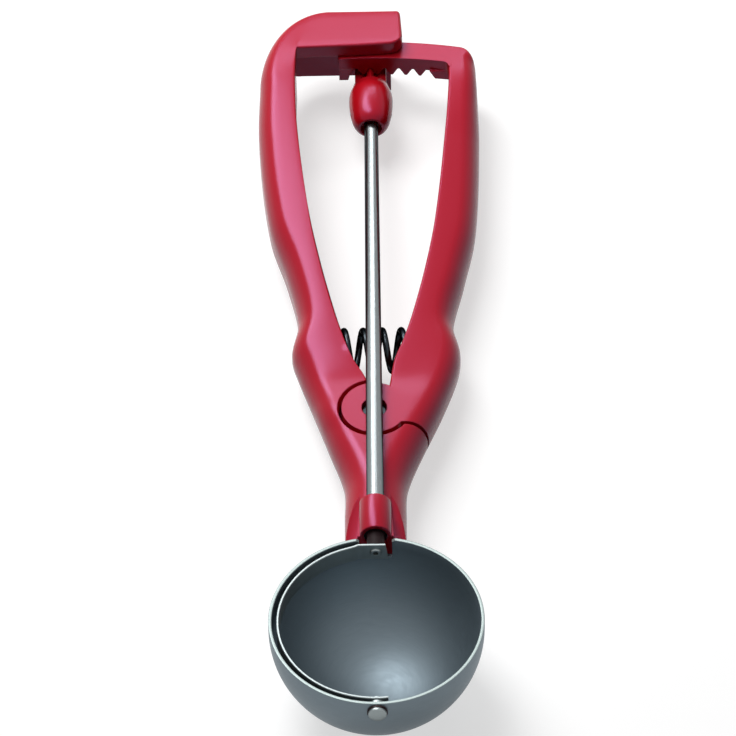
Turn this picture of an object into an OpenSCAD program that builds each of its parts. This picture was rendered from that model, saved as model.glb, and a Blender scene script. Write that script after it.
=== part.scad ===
// Lever ice cream scoop: a round bowl with a sweeping scraper that two sprung grips drive.
// Frame: origin at the centre of the bowl's mouth, +Z out of the mouth, +Y towards the grips.

/* [Bowl] */
// Outer radius of the bowl
bowl_r = 28; // [25:0.5:32]
// Thickness of the bowl's wall
bowl_wall = 0.9; // [0.7:0.05:1.2]
// Depth of the straight band under the rim, down to the drive axis
bowl_band = 3; // [2.8:0.1:4]
// Width of the slot in the rim for the rod
slot_w = 8.6; // [7:0.2:10]
// Depth of the slot below the rim
slot_depth = 6.4; // [6:0.1:8]
// Chamfer at the slot's upper corners
slot_chamfer = 0.8; // [0.4:0.1:1.2]

/* [Scraper] */
// Width of the scraper band
scraper_w = 5.6; // [4.6:0.2:6]
// Thickness of the scraper band
scraper_t = 0.85; // [0.7:0.05:1.1]
// Gap between the band and the bowl's wall
scraper_gap = 1.2; // [1:0.1:1.6]
// Reach of the band's ends past the drive axis
scraper_reach = 2.9; // [2.6:0.1:3.4]

/* [Tip rivet] */
// Radius of the rivet's shank
tip_shank_r = 1.5; // [1.2:0.1:1.7]
// Radius of the rivet's outer head
tip_head_r = 2.4; // [2.2:0.1:2.8]
// Height of the rivet's outer head
tip_head_h = 1.25; // [1:0.05:1.6]
// Thickness of the washer under the head
tip_washer_t = 0.45; // [0.3:0.05:0.7]

/* [Drive rod] */
// Radius of the rod at the bowl
rod_r = 2.3; // [2:0.05:2.4]
// Radius of the rod at the pinion
rod_top_r = 1.9; // [1.8:0.05:2]
// Radius of the rod's journal inside the pinion and the upper bush
journal_r = 1.5; // [1.3:0.05:1.6]
// Radius of the tenon that is peened over the scraper
tenon_r = 1.5; // [1.3:0.05:1.7]
// Radial running clearance of shafts in their bushes
running = 0.05; // [0.03:0.01:0.08]

/* [Pinion] */
// Number of teeth on the pinion
pinion_teeth = 6; // [6:1:6]
// Pitch radius of the pinion
pitch_r = 3.85; // [3.8:0.05:3.95]
// Pressure angle of the teeth
pressure_angle = 32; // [31:0.5:33]
// Height of the rack's teeth above the pitch line
rack_addendum = 1.05; // [0.95:0.01:1.06]
// Height of the pinion's teeth above the pitch line
pinion_addendum = 1.1; // [1:0.02:1.1]
// Clearance at the bottom of the teeth
root_clearance = 0.25; // [0.2:0.05:0.35]
// Play between the teeth along the pitch line
backlash = 0.3; // [0.26:0.02:0.4]
// Largest radius of the pinion's barrel
barrel_r = 6.05; // [5.6:0.05:6.3]
// Length of the barrel below the teeth
barrel_len = 18; // [16:0.5:20]
// Length of the toothed end
teeth_len = 6.5; // [6.3:0.1:7]

/* [Handle] */
// Gap between the bowl and the neck's end
neck_gap = 2.7; // [2.4:0.1:3.5]
// Length from the neck's end to the lever pivot
neck_len = 47.3; // [45:0.5:52]
// Length from the lever pivot to the front of the rack
rack_in = 118.3; // [114:0.5:124]
// Width of the rack along the rod
rack_w = 6.2; // [5.8:0.1:6.3]
// Half width of the neck's end
neck_half = 8.2; // [8:0.1:9]
// Half width of the handle at its shoulder
shoulder_half = 22.1; // [21:0.2:23]
// Half width of the handle at its waist
waist_half = 20.4; // [19.6:0.2:21]
// Half width of the fixed grip at its belly
fixed_half = 30.9; // [30:0.2:32]
// Half width of the lever grip at its belly
lever_half = 29.7; // [29:0.2:31]
// Half width of the gap between the grips at the belly
grip_gap = 20.2; // [19.4:0.2:20.8]
// Depth of the handle's back below the bowl's rim
back_depth = 19; // [18.4:0.2:20]
// Height of the gear cover's top above the rim
cover_top = 10.8; // [10.4:0.1:11.4]
// Thickness of the gear cover over the rack
cover_t = 4.2; // [3.6:0.1:4.4]
// Height of the lever grip's top above the rim
lever_top = 6.3; // [6:0.05:6.3]
// Depth of the grips' upper ends below the rim
grip_back = 7.5; // [7:0.1:8]
// Length of the gear cover along the rod
cover_len = 14.2; // [13.4:0.1:15]
// Reach of the gear cover past the rod
cover_reach = 8.5; // [8.2:0.1:9.5]

/* [Hub] */
// Radius of the two overlapping hub discs
disc_r = 8.75; // [8.4:0.05:9]
// Width of the seam round the discs
seam = 0.6; // [0.5:0.05:0.7]
// Depth of the plane in which the discs meet
split_depth = 12.3; // [12:0.1:12.8]
// Gap between the faces of the two discs
disc_gap = 0.2; // [0.15:0.05:0.3]
// Radius of the pivot pin
pin_r = 2; // [1.8:0.1:2.2]
// Radius of the recesses over the pin's ends
recess_r = 3.4; // [3.2:0.1:3.6]
// Depth of the recesses over the pin's ends
recess_depth = 2.6; // [2.4:0.1:2.8]

/* [Return spring] */
// Outer radius of the coil
spring_r = 6; // [5.6:0.1:6.2]
// Radius of the spring wire
wire_r = 0.6; // [0.5:0.05:0.7]
// Number of turns
spring_turns = 4.2; // [3.6:0.1:5.5]
// Distance of the spring from the pivot
spring_at = 25.5; // [25:0.5:27]
// Distance of each spring seat from the rod
spring_seat = 11.8; // [11.5:0.1:12.2]

/* [Grip covers] */
// Thickness of the covers that close the hollow grips
lid_side = 4; // [3.6:0.1:4.4]
// Width of the grip's wall round a cover
lid_rim = 2.4; // [2:0.1:2.6]
// Gap round a cover
lid_gap = 0.1; // [0.08:0.02:0.2]
// Radius of the small screws' shanks
screw_r = 1.1; // [1:0.05:1.3]

/* [Hidden] */

// Levels and places
axis_z = -bowl_band;
bowl_in = bowl_r - bowl_wall;
band_r = bowl_in - scraper_gap;
neck_end_y = bowl_r + neck_gap;
pivot_y = neck_end_y + neck_len;
rack_out = rack_in + rack_w;
rack_mid = rack_in + rack_w / 2;
rod_gap = 0.3;
face_z = axis_z - rod_r - rod_gap;
back_z = -back_depth;
split_z = -split_depth;
cut = 0.5;      // overshoot of a cutting tool past the surface that it opens
deep = 40;      // reach of a cutting tool that runs right out of the part
eps = 0.01;     // overlap of shapes that join into one solid
fine = 96;      // facets of a full circle

// Gear train
pitch = 2 * PI * pitch_r / pinion_teeth;
pitch_angle = pitch / rack_mid * 180 / PI;
pitch_z = axis_z + pitch_r;
rack_tip_z = pitch_z - rack_addendum;
rack_root_z = pitch_z + pinion_addendum + root_clearance;
tip_r = pitch_r + pinion_addendum;
root_r = pitch_r - rack_addendum - root_clearance;
base_r = pitch_r * cos(pressure_angle);
rack_gap_y = 0.3;
pinion_top_y = pivot_y + rack_out + rack_gap_y;
teeth_y = pinion_top_y - teeth_len;
barrel_y = teeth_y - barrel_len;
rack_left = 8.7;         // reach of the rack's end block to the fixed side
block_depth = 2.3;       // depth of the end block's foot below the rim
stop_x = 18.2;           // place of the block that ends the rack on the lever side

// Gear cover and the wall behind the rack
cover_y = pivot_y + rack_in;
cover_end_y = cover_y + cover_len;
ceiling_z = cover_top - cover_t;
crossing_z = ceiling_z - 2.6;   // level above which the fixed side crosses over the rack
wall_y = pinion_top_y + rack_gap_y;
wall_reach = 5.8;        // reach of the wall past the rod
lug_r = 5.4;             // radius of the lug round the rod's upper end
lug_len = 5.4;
lug_drop = 13.6;         // depth of the lug's rib below the rim
bush_r = 2.5;
bush_wall = 0.9;
upper_bush_len = 4.6;

// Spots along the handle, from the pivot
flare_at = -22;
fork_at = -8;            // where the fixed grip parts from the lever's side
hub_at = 4;
chest_at = 17;
shoulder_at = 23.5;
waist_at = 33;
hip_at = 48;
thigh_at = 64;
belly_at = 92;
end_taper = 6;           // stretch below the rack over which the grips draw in
end_inset = 0.5;
lever_extra = 0.9;       // extra width of the lever side at its shoulder and waist
corner_r = 16;
end_r = 4;

crotch_x = 1.4;          // place of the fork's root to the side of the rod
fork_web = 1.2;
neck_round = 5.2;        // radius of the neck's edges
grip_round = 6;          // radius of a grip's outer edges
edge_round = 1.2;        // radius of a grip's inner edges
edge_flat = 0.4;         // least flat between a grip's rounded edges

// Half the fixed grip's width, its gap, and both for the lever grip, at a distance t from the pivot
function mix(a, b, share) = a + (b - a) * share;
function outer_rows(shoulder, waist, belly) = [
    [-neck_len, neck_half], [1.5 * flare_at, neck_half], [flare_at, mix(neck_half, shoulder, 0.035)],
    [fork_at, mix(neck_half, shoulder, 0.355)], [hub_at, mix(neck_half, shoulder, 0.63)],
    [chest_at, mix(neck_half, shoulder, 0.92)], [shoulder_at, shoulder], [waist_at, waist],
    [hip_at, mix(waist, belly, 0.35)], [thigh_at, mix(waist, belly, 0.76)], [belly_at, belly],
    [rack_in - end_taper, belly - end_inset], [rack_out, belly - 3 * end_inset]];
fixed_outer = outer_rows(shoulder_half, waist_half, fixed_half);
lever_outer = outer_rows(shoulder_half + lever_extra, waist_half + lever_extra, lever_half);
function gap_rows(start, top) = concat(start, [[chest_at, 0.275 * grip_gap], [shoulder_at, 0.395 * grip_gap],
    [waist_at, 0.534 * grip_gap], [hip_at, 0.709 * grip_gap], [thigh_at, 0.85 * grip_gap], [belly_at, grip_gap],
    [rack_in - end_taper, top], [rack_out, top]]);
fixed_gap = gap_rows([[fork_at, -mix(neck_half, shoulder_half, 0.355)], [hub_at / 2, -disc_r / 2 - fork_web],
                      [disc_r, crotch_x], [disc_r + 3, crotch_x + fork_web]], grip_gap + fork_web / 2);
lever_gap = gap_rows([[1.5 * fork_at, 2 * crotch_x], [0, 2 * crotch_x], [disc_r, 3 * crotch_x]],
                     grip_gap + crotch_x);
front_rise = [[-neck_len, 0], [hub_at, 0], [shoulder_at, 0.11], [rack_in, 1]];
back_rise = [[-neck_len, 0], [shoulder_at, 0], [hip_at, 0.15], [rack_in, 1]];
outer_round = [[-neck_len, neck_round], [flare_at, neck_round + 0.4], [hub_at, grip_round],
               [rack_in - 2 * end_taper, grip_round], [rack_in, 0.75 * grip_round]];
inner_round = [[-neck_len, neck_round], [flare_at, neck_round + 0.4], [fork_at, neck_round + 0.4],
               [hub_at, edge_round], [rack_in, edge_round]];
crown = 0.5;             // fall of a grip's faces towards their edges
arc_steps = 3;           // flats in each rounded corner of a grip's section

// Cubic through hand-set rows of [place, value]
function spot(rows, t, i = 0) = (i >= len(rows) - 2 || t < rows[i + 1][0]) ? i : spot(rows, t, i + 1);
function rise(rows, i, j) = (rows[j][1] - rows[i][1]) / (rows[j][0] - rows[i][0]);
function tangent(rows, i) =
    i == 0 ? rise(rows, 0, 1) : i == len(rows) - 1 ? rise(rows, i - 1, i) : rise(rows, i - 1, i + 1);
function smooth(rows, t) =
    let (i = spot(rows, t), h = rows[i + 1][0] - rows[i][0],
         u = min(1, max(0, (t - rows[i][0]) / h)), v = 1 - u)
    v * v * (1 + 2 * u) * rows[i][1] + u * u * (1 + 2 * v) * rows[i + 1][1]
    + u * v * h * (v * tangent(rows, i) - u * tangent(rows, i + 1));

// One section of a grip: outer point, inner point, top, bottom and the four corner radii.
// Grips are drawn on their own side, with x growing outwards, and the fixed one is mirrored.
function section(t, outer, gap, top) =
    let (half = smooth(outer, t), y = pivot_y + t, whole = gap[0][1] < 0,
         inside = whole && t < gap[0][0] ? -half : smooth(gap, t),
         q = whole ? smooth(inner_round, t) : edge_round,
         r = min(smooth(outer_round, t), half - inside - q - edge_flat))
    [[half, y], [inside, y], mix(face_z, top, smooth(front_rise, t)),
     mix(back_z, -grip_back, smooth(back_rise, t)), r, r, q, q];
function corner(centre_p, centre_z, r, start, end) =
    [for (i = [0:arc_steps]) let (a = mix(start, end, i / arc_steps))
        [centre_p + r * cos(a), centre_z + r * sin(a)]];
function flat_ring(s) =
    let (w = norm(s[1] - s[0]))
    concat(corner(s[4], s[2] - s[4], s[4], 180, 90), corner(w - s[6], s[2] - s[6], s[6], 90, 0),
           corner(w - s[7], s[3] + s[7], s[7], 0, -90), corner(s[5], s[3] + s[5], s[5], -90, -180));
function ring(s) =
    let (w = norm(s[1] - s[0]), d = (s[1] - s[0]) / w, middle = (s[2] + s[3]) / 2)
    [for (q = flat_ring(s)) let (e = 2 * q[0] / w - 1, o = s[0] + d * q[0])
        [o[0], o[1], q[1] + (q[1] > middle ? -crown : crown) * e * e]];

// Skin over a row of rings with the same number of points
module skin(rings) {
    n = len(rings[0]);
    last = len(rings) - 1;
    sides = [for (i = [0:last - 1], j = [0:n - 1]) let (k = (j + 1) % n)
        [i * n + j, i * n + k, (i + 1) * n + k, (i + 1) * n + j]];
    ends = [[for (j = [n - 1:-1:0]) j], [for (j = [0:n - 1]) last * n + j]];
    polyhedron([for (r = rings) each r], concat(sides, ends), convexity = 8);
}

function steps(from, to, count) = [for (i = [0:count]) mix(from, to, i / count)];
module along_y(y, length) {
    translate([0, y + length, 0]) rotate([90, 0, 0]) linear_extrude(length) children();
}
module rod_y(y, length, r) {
    translate([0, y, axis_z]) rotate([-90, 0, 0]) cylinder(length, r = r, $fn = fine);
}
module at_pivot(z) { translate([0, pivot_y, z]) children(); }
module own_side(lever) { mirror([lever ? 0 : 1, 0, 0]) children(); }

// Places along the fixed grip: straight run, outer corner, then the bar that carries the cover
fixed_top_x = smooth(fixed_outer, rack_in - 6);
corner_x = fixed_top_x - corner_r;
corner_y = cover_end_y - corner_r;
gap_top = smooth(fixed_gap, rack_in);
module fixed_blank() {
    run = [for (t = steps(-neck_len, corner_y - pivot_y, 36)) section(t, fixed_outer, fixed_gap, cover_top)];
    turn = [for (i = [1:8]) let (a = 90 * i / 8, share = i / 8)
        [[corner_x + corner_r * cos(a), corner_y + corner_r * sin(a)],
         [gap_top - 0.6 * share, mix(corner_y + 0.6, cover_y, pow(share, 0.5))], cover_top, -grip_back,
         mix(6, 2.5, share), mix(6, 4.5, share), edge_round, edge_round]];
    bar = [for (x = [corner_x - 8, 0, -cover_reach])
        [[x, cover_end_y], [x, cover_y], cover_top, -grip_back, 2.5, 4.5, edge_round, edge_round]];
    own_side(false) skin([for (s = concat(run, turn, bar)) ring(s)]);
}

module lever_blank() {
    run = [for (t = steps(-12, rack_in, 28)) section(t, lever_outer, lever_gap, lever_top)];
    end = section(rack_in, lever_outer, lever_gap, lever_top);
    top = [for (i = [1:5]) let (a = 90 * i / 5, t = rack_out - end_r + end_r * sin(a), r = mix(4.5, 1.4, i / 5))
        [[end[0][0] - end_r * (1 - cos(a)) - 0.2, pivot_y + t], [end[1][0], pivot_y + t], end[2], end[3],
         r, r, edge_round, edge_round]];
    skin([for (s = concat(run, top)) ring(s)]);
}

// Seam between the handle and the lever
shoulder_c = [4.6, pivot_y - 15.8];
shoulder_r = 10.2;
module seam_circle(r) { translate([shoulder_c[0], shoulder_c[1]]) circle(r, $fn = fine); }
module lever_side_cut() {
    difference() {
        translate([0, shoulder_c[1]]) square([2 * deep, 3 * deep]);
        seam_circle(shoulder_r);
    }
}

// Back covers: each closes a hollow in a grip between two screws
lid_from = 40;
lid_to = 102;
screw_inset = 4.2;
screw_head_r = 2;
screw_head_h = 1.4;
screw_len = 8.5;
screw_slot = 0.6;        // width and depth of the slot in a screw's head
function lid_section(t, outer, gap, top, spread, low, high) =
    let (s = section(t, outer, gap, top), o = s[0] + [spread, 0], i = s[1] - [spread, 0])
    [[o[0], o[1], s[3] + low], [o[0], o[1], s[3] + high], [i[0], i[1], s[3] + high], [i[0], i[1], s[3] + low]];
function lid_ring(t, outer, gap, top) =
    let (s = section(t, outer, gap, top), w = norm(s[1] - s[0]), d = (s[1] - s[0]) / w,
         start = -180 + asin(max(0, 1 - lid_side / s[5])),
         p = concat(corner(w - s[7], s[3] + s[7], s[7], 0, -90), corner(s[5], s[3] + s[5], s[5], -90, start)),
         lid_top = s[3] + lid_side - lid_gap,
         q = concat([[w, lid_top]], p, [[p[len(p) - 1][0], lid_top]]))
    [for (k = q) let (e = 2 * k[0] / w - 1, o = s[0] + d * k[0])
        [o[0], o[1], min(lid_top, k[1] + (k[1] < lid_top ? crown * e * e : 0))]];
module lid_space(outer, gap, top) {
    skin([for (t = steps(lid_from, lid_to, 10)) lid_section(t, outer, gap, top, 2, -3, lid_side)]);
    skin([for (t = steps(lid_from + 2 * screw_inset, lid_to - 2 * screw_inset, 8))
        lid_section(t, outer, gap, top, -lid_rim, lid_side - 1, lid_side + 7)]);
}
module lid_screw_spots(outer, gap) {
    for (t = [lid_from + screw_inset, lid_to - screw_inset])
        translate([(smooth(outer, t) + smooth(gap, t)) / 2, pivot_y + t,
                   mix(back_z, -grip_back, smooth(back_rise, t))]) children();
}
module lid_screw() {
    translate([0, 0, crown]) cylinder(screw_head_h, r = screw_head_r, $fn = fine);
    translate([0, 0, crown + eps]) cylinder(screw_len, r = screw_r, $fn = fine);
}

// Hub, pivot and spring places
disc_top_z = split_z - disc_gap;
recess_z = face_z - recess_depth;
back_recess_z = back_z + recess_depth;
pin_head_gap = 0.1;
pin_head_h = 1.1;
pin_head_r = recess_r - 0.4;
pin_tail = 0.8;          // length of the pin past its clip
bush_out_r = pin_r + running + bush_wall;
washer_t = 0.5;
clip_t = 0.5;
groove_r = pin_r - 0.4;
spring_y = pivot_y + spring_at;
spring_z = -11.6;
spring_room = 0.4;       // room round the coil in its seats
spring_end = 0.1;        // room at each end of the coil
peg_r = spring_r - 2 * wire_r - 0.6;
peg_len = 2.5;

// Neck's sloped end and the guide that holds the rod
slope = 26;
slope_len = 17.7;
guide_r = 4.15;
guide_len = 12.5;
guide_web = 3.9;         // half width of the web under the guide
guide_fillet = 4.6;
guide_bush_r = rod_r + running + 0.75;
bush_inset = 0.5;
slope_top_y = neck_end_y + slope_len;
function slope_z(y) = face_z - (slope_top_y - y) * tan(slope);

// Tang that joins the bowl to the neck
tang_half = 5.5;
tang_t = 2.2;
tang_top_z = -15.4;
tang_hold = 31;          // length of the tang inside the neck
tang_end_y = neck_end_y + tang_hold;
foot_t = 1.2;
foot_half = 7;
foot_low = 22;
foot_high = 9;
foot_from = 5;           // place where the foot's patch of the bowl begins
tang_screw_at = 10;      // distance of the first screw from the neck's end
tang_screw_step = 12;
tang_screw_ys = [for (k = [0:1]) neck_end_y + tang_screw_at + k * tang_screw_step];
tang_screw_len = 5.5;
tang_head_r = 2.3;
tang_head_inset = 0.2;   // depth of the heads below the neck's back

plastic = "#B8324A";
dark_plastic = "#3A0F18";
steel = "#C9CFD2";
bowl_steel = "#7E8A90";

module seat_at(side) {
    translate([side * spring_seat, spring_y, spring_z]) rotate([0, -90 * side, 0]) children();
}
module spring_pocket(side) {
    seat_at(side) difference() {
        cylinder(spring_seat, r = spring_r + spring_room, $fn = fine);
        translate([0, 0, -eps]) cylinder(peg_len + eps, r = peg_r, $fn = fine);
    }
}

module sloped_neck() {
    low_y = neck_end_y - 5;
    high_y = slope_top_y + 10;
    difference() {
        children();
        rotate([90, 0, 90]) translate([0, 0, -deep / 2]) linear_extrude(deep)
            polygon([[low_y, slope_z(low_y)], [high_y, slope_z(high_y)], [low_y, slope_z(high_y)]]);
    }
}

module rod_guide() {
    web_low = back_z / 2 - 4;
    rod_y(neck_end_y, guide_len, guide_r);
    translate([-guide_web, neck_end_y, web_low]) cube([2 * guide_web, guide_len, axis_z - web_low]);
    intersection() {
        for (side = [0, 1]) mirror([side, 0, 0]) guide_side();
        translate([1 - neck_half, neck_end_y, web_low]) cube([2 * neck_half - 2, slope_len, deep]);
    }
}
module guide_side() {
    centre = guide_fillet - 0.25;
    translate([guide_web, slope_top_y, face_z]) rotate([90 + slope, 0, 0])
        linear_extrude(slope_len / cos(slope) + 10) difference() {
            translate([-0.2, -0.2]) square(centre - 1.2);
            translate([centre, centre]) circle(guide_fillet, $fn = fine);
        }
}

module cover_cavity() {
    low = -deep;
    left = gap_top + 0.6;
    front = cover_y - 3;
    translate([-left, front, low]) cube([left + deep, wall_y - front, ceiling_z - low]);
    translate([wall_reach, cover_y, low]) cube([deep, deep, ceiling_z - low]);
}
module end_lug() {
    along_y(wall_y, lug_len) {
        translate([0, axis_z]) circle(lug_r, $fn = fine);
        translate([0.6, -lug_drop + 2]) square([wall_reach - 0.6 - 0.2, lug_drop - 2 + axis_z]);
        translate([2.6, -lug_drop]) square([wall_reach - 2.6 - 0.2, 2 + eps]);
        translate([2.6, -lug_drop + 2]) circle(2, $fn = fine);
    }
}
module cover_corner() {
    translate([cover_reach - end_r, cover_y - cut, ceiling_z - 1]) linear_extrude(cover_t + 2) difference() {
        square([end_r + cut, end_r + cut]);
        translate([0, end_r + cut]) circle(end_r, $fn = fine);
    }
}

module fixed_handle() {
    color(plastic) difference() {
        union() {
            difference() {
                sloped_neck() fixed_blank();
                at_pivot(disc_top_z) cylinder(deep, r = disc_r + seam, $fn = fine);
                translate([0, 0, -deep]) linear_extrude(deep + crossing_z) lever_side_cut();
                cover_cavity();
                cover_corner();
            }
            at_pivot(back_z) cylinder(disc_top_z - back_z, r = disc_r, $fn = fine);
            rod_guide();
            end_lug();
        }
        spring_pocket(-1);
        rod_y(neck_end_y - cut, guide_len + 2 * cut, guide_bush_r);
        rod_y(wall_y - cut, upper_bush_len + cut, bush_r);
        at_pivot(back_z - cut) cylinder(back_depth, r = pin_r, $fn = fine);
        at_pivot(back_z - cut) cylinder(recess_depth + cut, r = recess_r, $fn = fine);
        tang_strap();
        for (y = tang_screw_ys) translate([0, y, 0]) tang_screw();
        own_side(false) {
            lid_space(fixed_outer, fixed_gap, cover_top);
            lid_screw_spots(fixed_outer, fixed_gap) lid_screw();
        }
    }
}

module fixed_back_cover() { color(plastic) own_side(false) grip_lid(fixed_outer, fixed_gap, cover_top); }
module lever_back_cover() { color(plastic) own_side(true) grip_lid(lever_outer, lever_gap, lever_top); }
module grip_lid(outer, gap, top) {
    difference() {
        skin([for (t = steps(lid_from + lid_gap, lid_to - lid_gap, 12)) lid_ring(t, outer, gap, top)]);
        lid_screw_spots(outer, gap) translate([0, 0, -cut]) {
            cylinder(lid_side + 2, r = screw_r, $fn = fine);
            cylinder(crown + screw_head_h + cut, r = screw_head_r + lid_gap, $fn = fine);
        }
    }
}
module fixed_cover_screws() {
    color(steel) own_side(false) lid_screw_spots(fixed_outer, fixed_gap) slotted_screw();
}
module lever_cover_screws() {
    color(steel) own_side(true) lid_screw_spots(lever_outer, lever_gap) slotted_screw();
}
module slotted_screw() {
    difference() {
        lid_screw();
        translate([-screw_slot / 2, -screw_head_r - cut, 0])
            cube([screw_slot, 2 * (screw_head_r + cut), crown + screw_slot]);
    }
}

module lever_handle() {
    color(plastic) difference() {
        union() {
            difference() {
                lever_blank();
                at_pivot(-deep) cylinder(deep + split_z, r = disc_r + seam, $fn = fine);
                translate([0, 0, -deep]) linear_extrude(2 * deep) seam_circle(shoulder_r + seam);
            }
            at_pivot(split_z) cylinder(face_z - split_z, r = disc_r, $fn = fine);
            rack();
        }
        spring_pocket(1);
        at_pivot(recess_z) cylinder(recess_depth + cut, r = recess_r, $fn = fine);
        at_pivot(split_z - cut) cylinder(deep / 2, r = bush_out_r, $fn = fine);
        lid_space(lever_outer, lever_gap, lever_top);
        lid_screw_spots(lever_outer, lever_gap) lid_screw();
    }
}

// Rack: a bar on an arc about the pivot, with straight teeth that point down to the pinion
tooth_half = (pitch - backlash / 2) / 4;
flank = tan(pressure_angle);
tooth_tip = tooth_half - rack_addendum * flank;
tooth_root = tooth_half + (rack_root_z - pitch_z) * flank;
bar_end = smooth(lever_gap, rack_in) + 2;
inner_r = 3;             // radius of the inner corner between the rack and the lever grip
module across_rack() { along_y(cover_y, rack_w) children(); }
module rack() {
    bar_x = bar_end - 2;
    intersection() {
        at_pivot(rack_root_z) difference() {
            cylinder(lever_top - rack_root_z, r = rack_out, $fn = fine);
            translate([0, 0, -cut]) cylinder(lever_top, r = rack_in, $fn = fine);
        }
        translate([-rack_left, pivot_y + rack_in / 2, -5]) cube([rack_left + bar_end, rack_out, deep]);
    }
    for (k = [-1:3]) at_pivot(0) rotate([0, 0, -(k + 0.5) * pitch_angle]) translate([0, -pivot_y, 0])
        across_rack() tooth();
    across_rack() polygon([[-rack_left, rack_root_z + eps], [-rack_left, -block_depth],
        [-1.5 * pitch + tooth_tip - 0.5, -block_depth], [-1.5 * pitch + tooth_tip, rack_tip_z],
        [-1.5 * pitch + tooth_root, rack_root_z + eps]]);
    translate([0, -2, 0]) across_rack() polygon([[stop_x - tooth_root, rack_root_z + 0.5],
        [stop_x - tooth_tip, rack_tip_z], [bar_end, rack_tip_z - 0.8], [bar_end, rack_root_z + 0.5]]);
    translate([bar_x - inner_r, cover_y - inner_r - 2.5, rack_root_z])
        linear_extrude(lever_top - rack_root_z - crown) difference() {
            square([inner_r + eps, inner_r + 0.5]);
            circle(inner_r, $fn = fine);
        }
}
module tooth() {
    polygon([[-tooth_root, rack_root_z + eps], [-tooth_tip, rack_tip_z], [tooth_tip, rack_tip_z],
             [tooth_root, rack_root_z + eps]]);
}

module pivot_bush() {
    color(steel) at_pivot(split_z) difference() {
        cylinder(recess_z - split_z, r = bush_out_r, $fn = fine);
        translate([0, 0, -cut]) cylinder(deep, r = pin_r + running, $fn = fine);
    }
}
module pivot_pin() {
    tail_z = back_recess_z - washer_t - clip_t - pin_tail;
    color(steel) difference() {
        union() {
            at_pivot(tail_z) cylinder(recess_z + pin_head_gap - tail_z + eps, r = pin_r, $fn = fine);
            at_pivot(recess_z + pin_head_gap) cylinder(pin_head_h, r = pin_head_r, $fn = fine);
        }
        at_pivot(back_recess_z - washer_t - clip_t) difference() {
            cylinder(clip_t, r = pin_r + cut, $fn = fine);
            translate([0, 0, -cut]) cylinder(clip_t + 2 * cut, r = groove_r, $fn = fine);
        }
    }
}
module pivot_washer() {
    color(steel) at_pivot(back_recess_z - washer_t) tube(washer_t, recess_r - 0.3, pin_r + running);
}
module pivot_clip() {
    color(steel) at_pivot(back_recess_z - washer_t - clip_t) difference() {
        tube(clip_t, recess_r - 0.5, groove_r);
        translate([-0.7, 0, -cut]) cube([1.4, 5, 2]);
    }
}
module tube(h, out_r, in_r) {
    difference() {
        cylinder(h, r = out_r, $fn = fine);
        translate([0, 0, -cut]) cylinder(h + 2 * cut, r = in_r, $fn = fine);
    }
}
module tube_y(y, length, out_r, in_r) {
    translate([0, y, axis_z]) rotate([-90, 0, 0]) tube(length, out_r, in_r);
}

// Return spring: a round wire on a helix between the grips
spring_half = spring_seat - spring_end - wire_r;
spring_start = -155;     // angle at which the wire leaves the fixed grip's seat
wire_steps = 20;         // rings of the wire in each turn
coil_r = spring_r - wire_r;
function coil_point(a, share) =
    let (x = mix(-spring_half, spring_half, share), turn = spring_start + 360 * spring_turns * share,
         r = coil_r + wire_r * cos(a))
    [x + wire_r * sin(a), spring_y + r * cos(turn), spring_z + r * sin(turn)];
module return_spring() {
    color(steel) skin([for (share = steps(0, 1, round(wire_steps * spring_turns)))
        [for (a = [0:45:315]) coil_point(a, share)]]);
}

module bowl() {
    color(bowl_steel) difference() {
        union() {
            translate([0, 0, axis_z]) sphere(bowl_r, $fn = fine);
            translate([0, 0, axis_z]) cylinder(bowl_band, r = bowl_r, $fn = fine);
        }
        translate([0, 0, axis_z]) sphere(bowl_in, $fn = fine);
        translate([0, 0, axis_z]) cylinder(bowl_band + cut, r = bowl_in, $fn = fine);
        translate([-bowl_r - cut, -bowl_r - cut, 0]) cube(2 * bowl_r + 2 * cut);
        along_y(0, bowl_r + cut) polygon([
            [-slot_w / 2, -slot_depth], [slot_w / 2, -slot_depth], [slot_w / 2, -slot_chamfer],
            [slot_w / 2 + slot_chamfer, 0], [slot_w / 2 + slot_chamfer, cut],
            [-slot_w / 2 - slot_chamfer, cut], [-slot_w / 2 - slot_chamfer, 0], [-slot_w / 2, -slot_chamfer]]);
        rod_y(-bowl_r - cut, 5, tip_shank_r);
    }
}
module tang_strap() {
    from_y = 0.8 * bowl_r;
    translate([-tang_half, from_y, tang_top_z - tang_t]) cube([2 * tang_half, tang_end_y - from_y, tang_t]);
}
module bowl_tang() {
    color(steel) difference() {
        union() {
            difference() {
                tang_strap();
                translate([0, 0, axis_z]) sphere(bowl_r, $fn = fine);
            }
            intersection() {
                difference() {
                    translate([0, 0, axis_z]) sphere(bowl_r + foot_t, $fn = fine);
                    translate([0, 0, axis_z]) sphere(bowl_r, $fn = fine);
                }
                translate([-foot_half, foot_from, -foot_low])
                    cube([2 * foot_half, bowl_r, foot_low - foot_high]);
            }
        }
        for (y = tang_screw_ys) translate([0, y, -deep]) cylinder(deep, r = screw_r, $fn = fine);
    }
}
module tang_screw() {
    translate([0, 0, back_z - 0.5]) cylinder(tang_top_z - tang_t - back_z + 0.5, r = tang_head_r, $fn = fine);
    translate([0, 0, tang_top_z - tang_t - eps]) cylinder(tang_screw_len + eps, r = screw_r, $fn = fine);
}
module tang_screws() {
    color(steel) for (y = tang_screw_ys) translate([0, y, 0]) difference() {
        tang_screw();
        translate([-tang_head_r - cut, -tang_head_r - cut, back_z - 1])
            cube([2 * (tang_head_r + cut), 2 * (tang_head_r + cut), 1 + tang_head_inset]);
        translate([-screw_slot / 2, -tang_head_r - cut, back_z])
            cube([screw_slot, 2 * (tang_head_r + cut), tang_head_inset + screw_slot]);
    }
}

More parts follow.
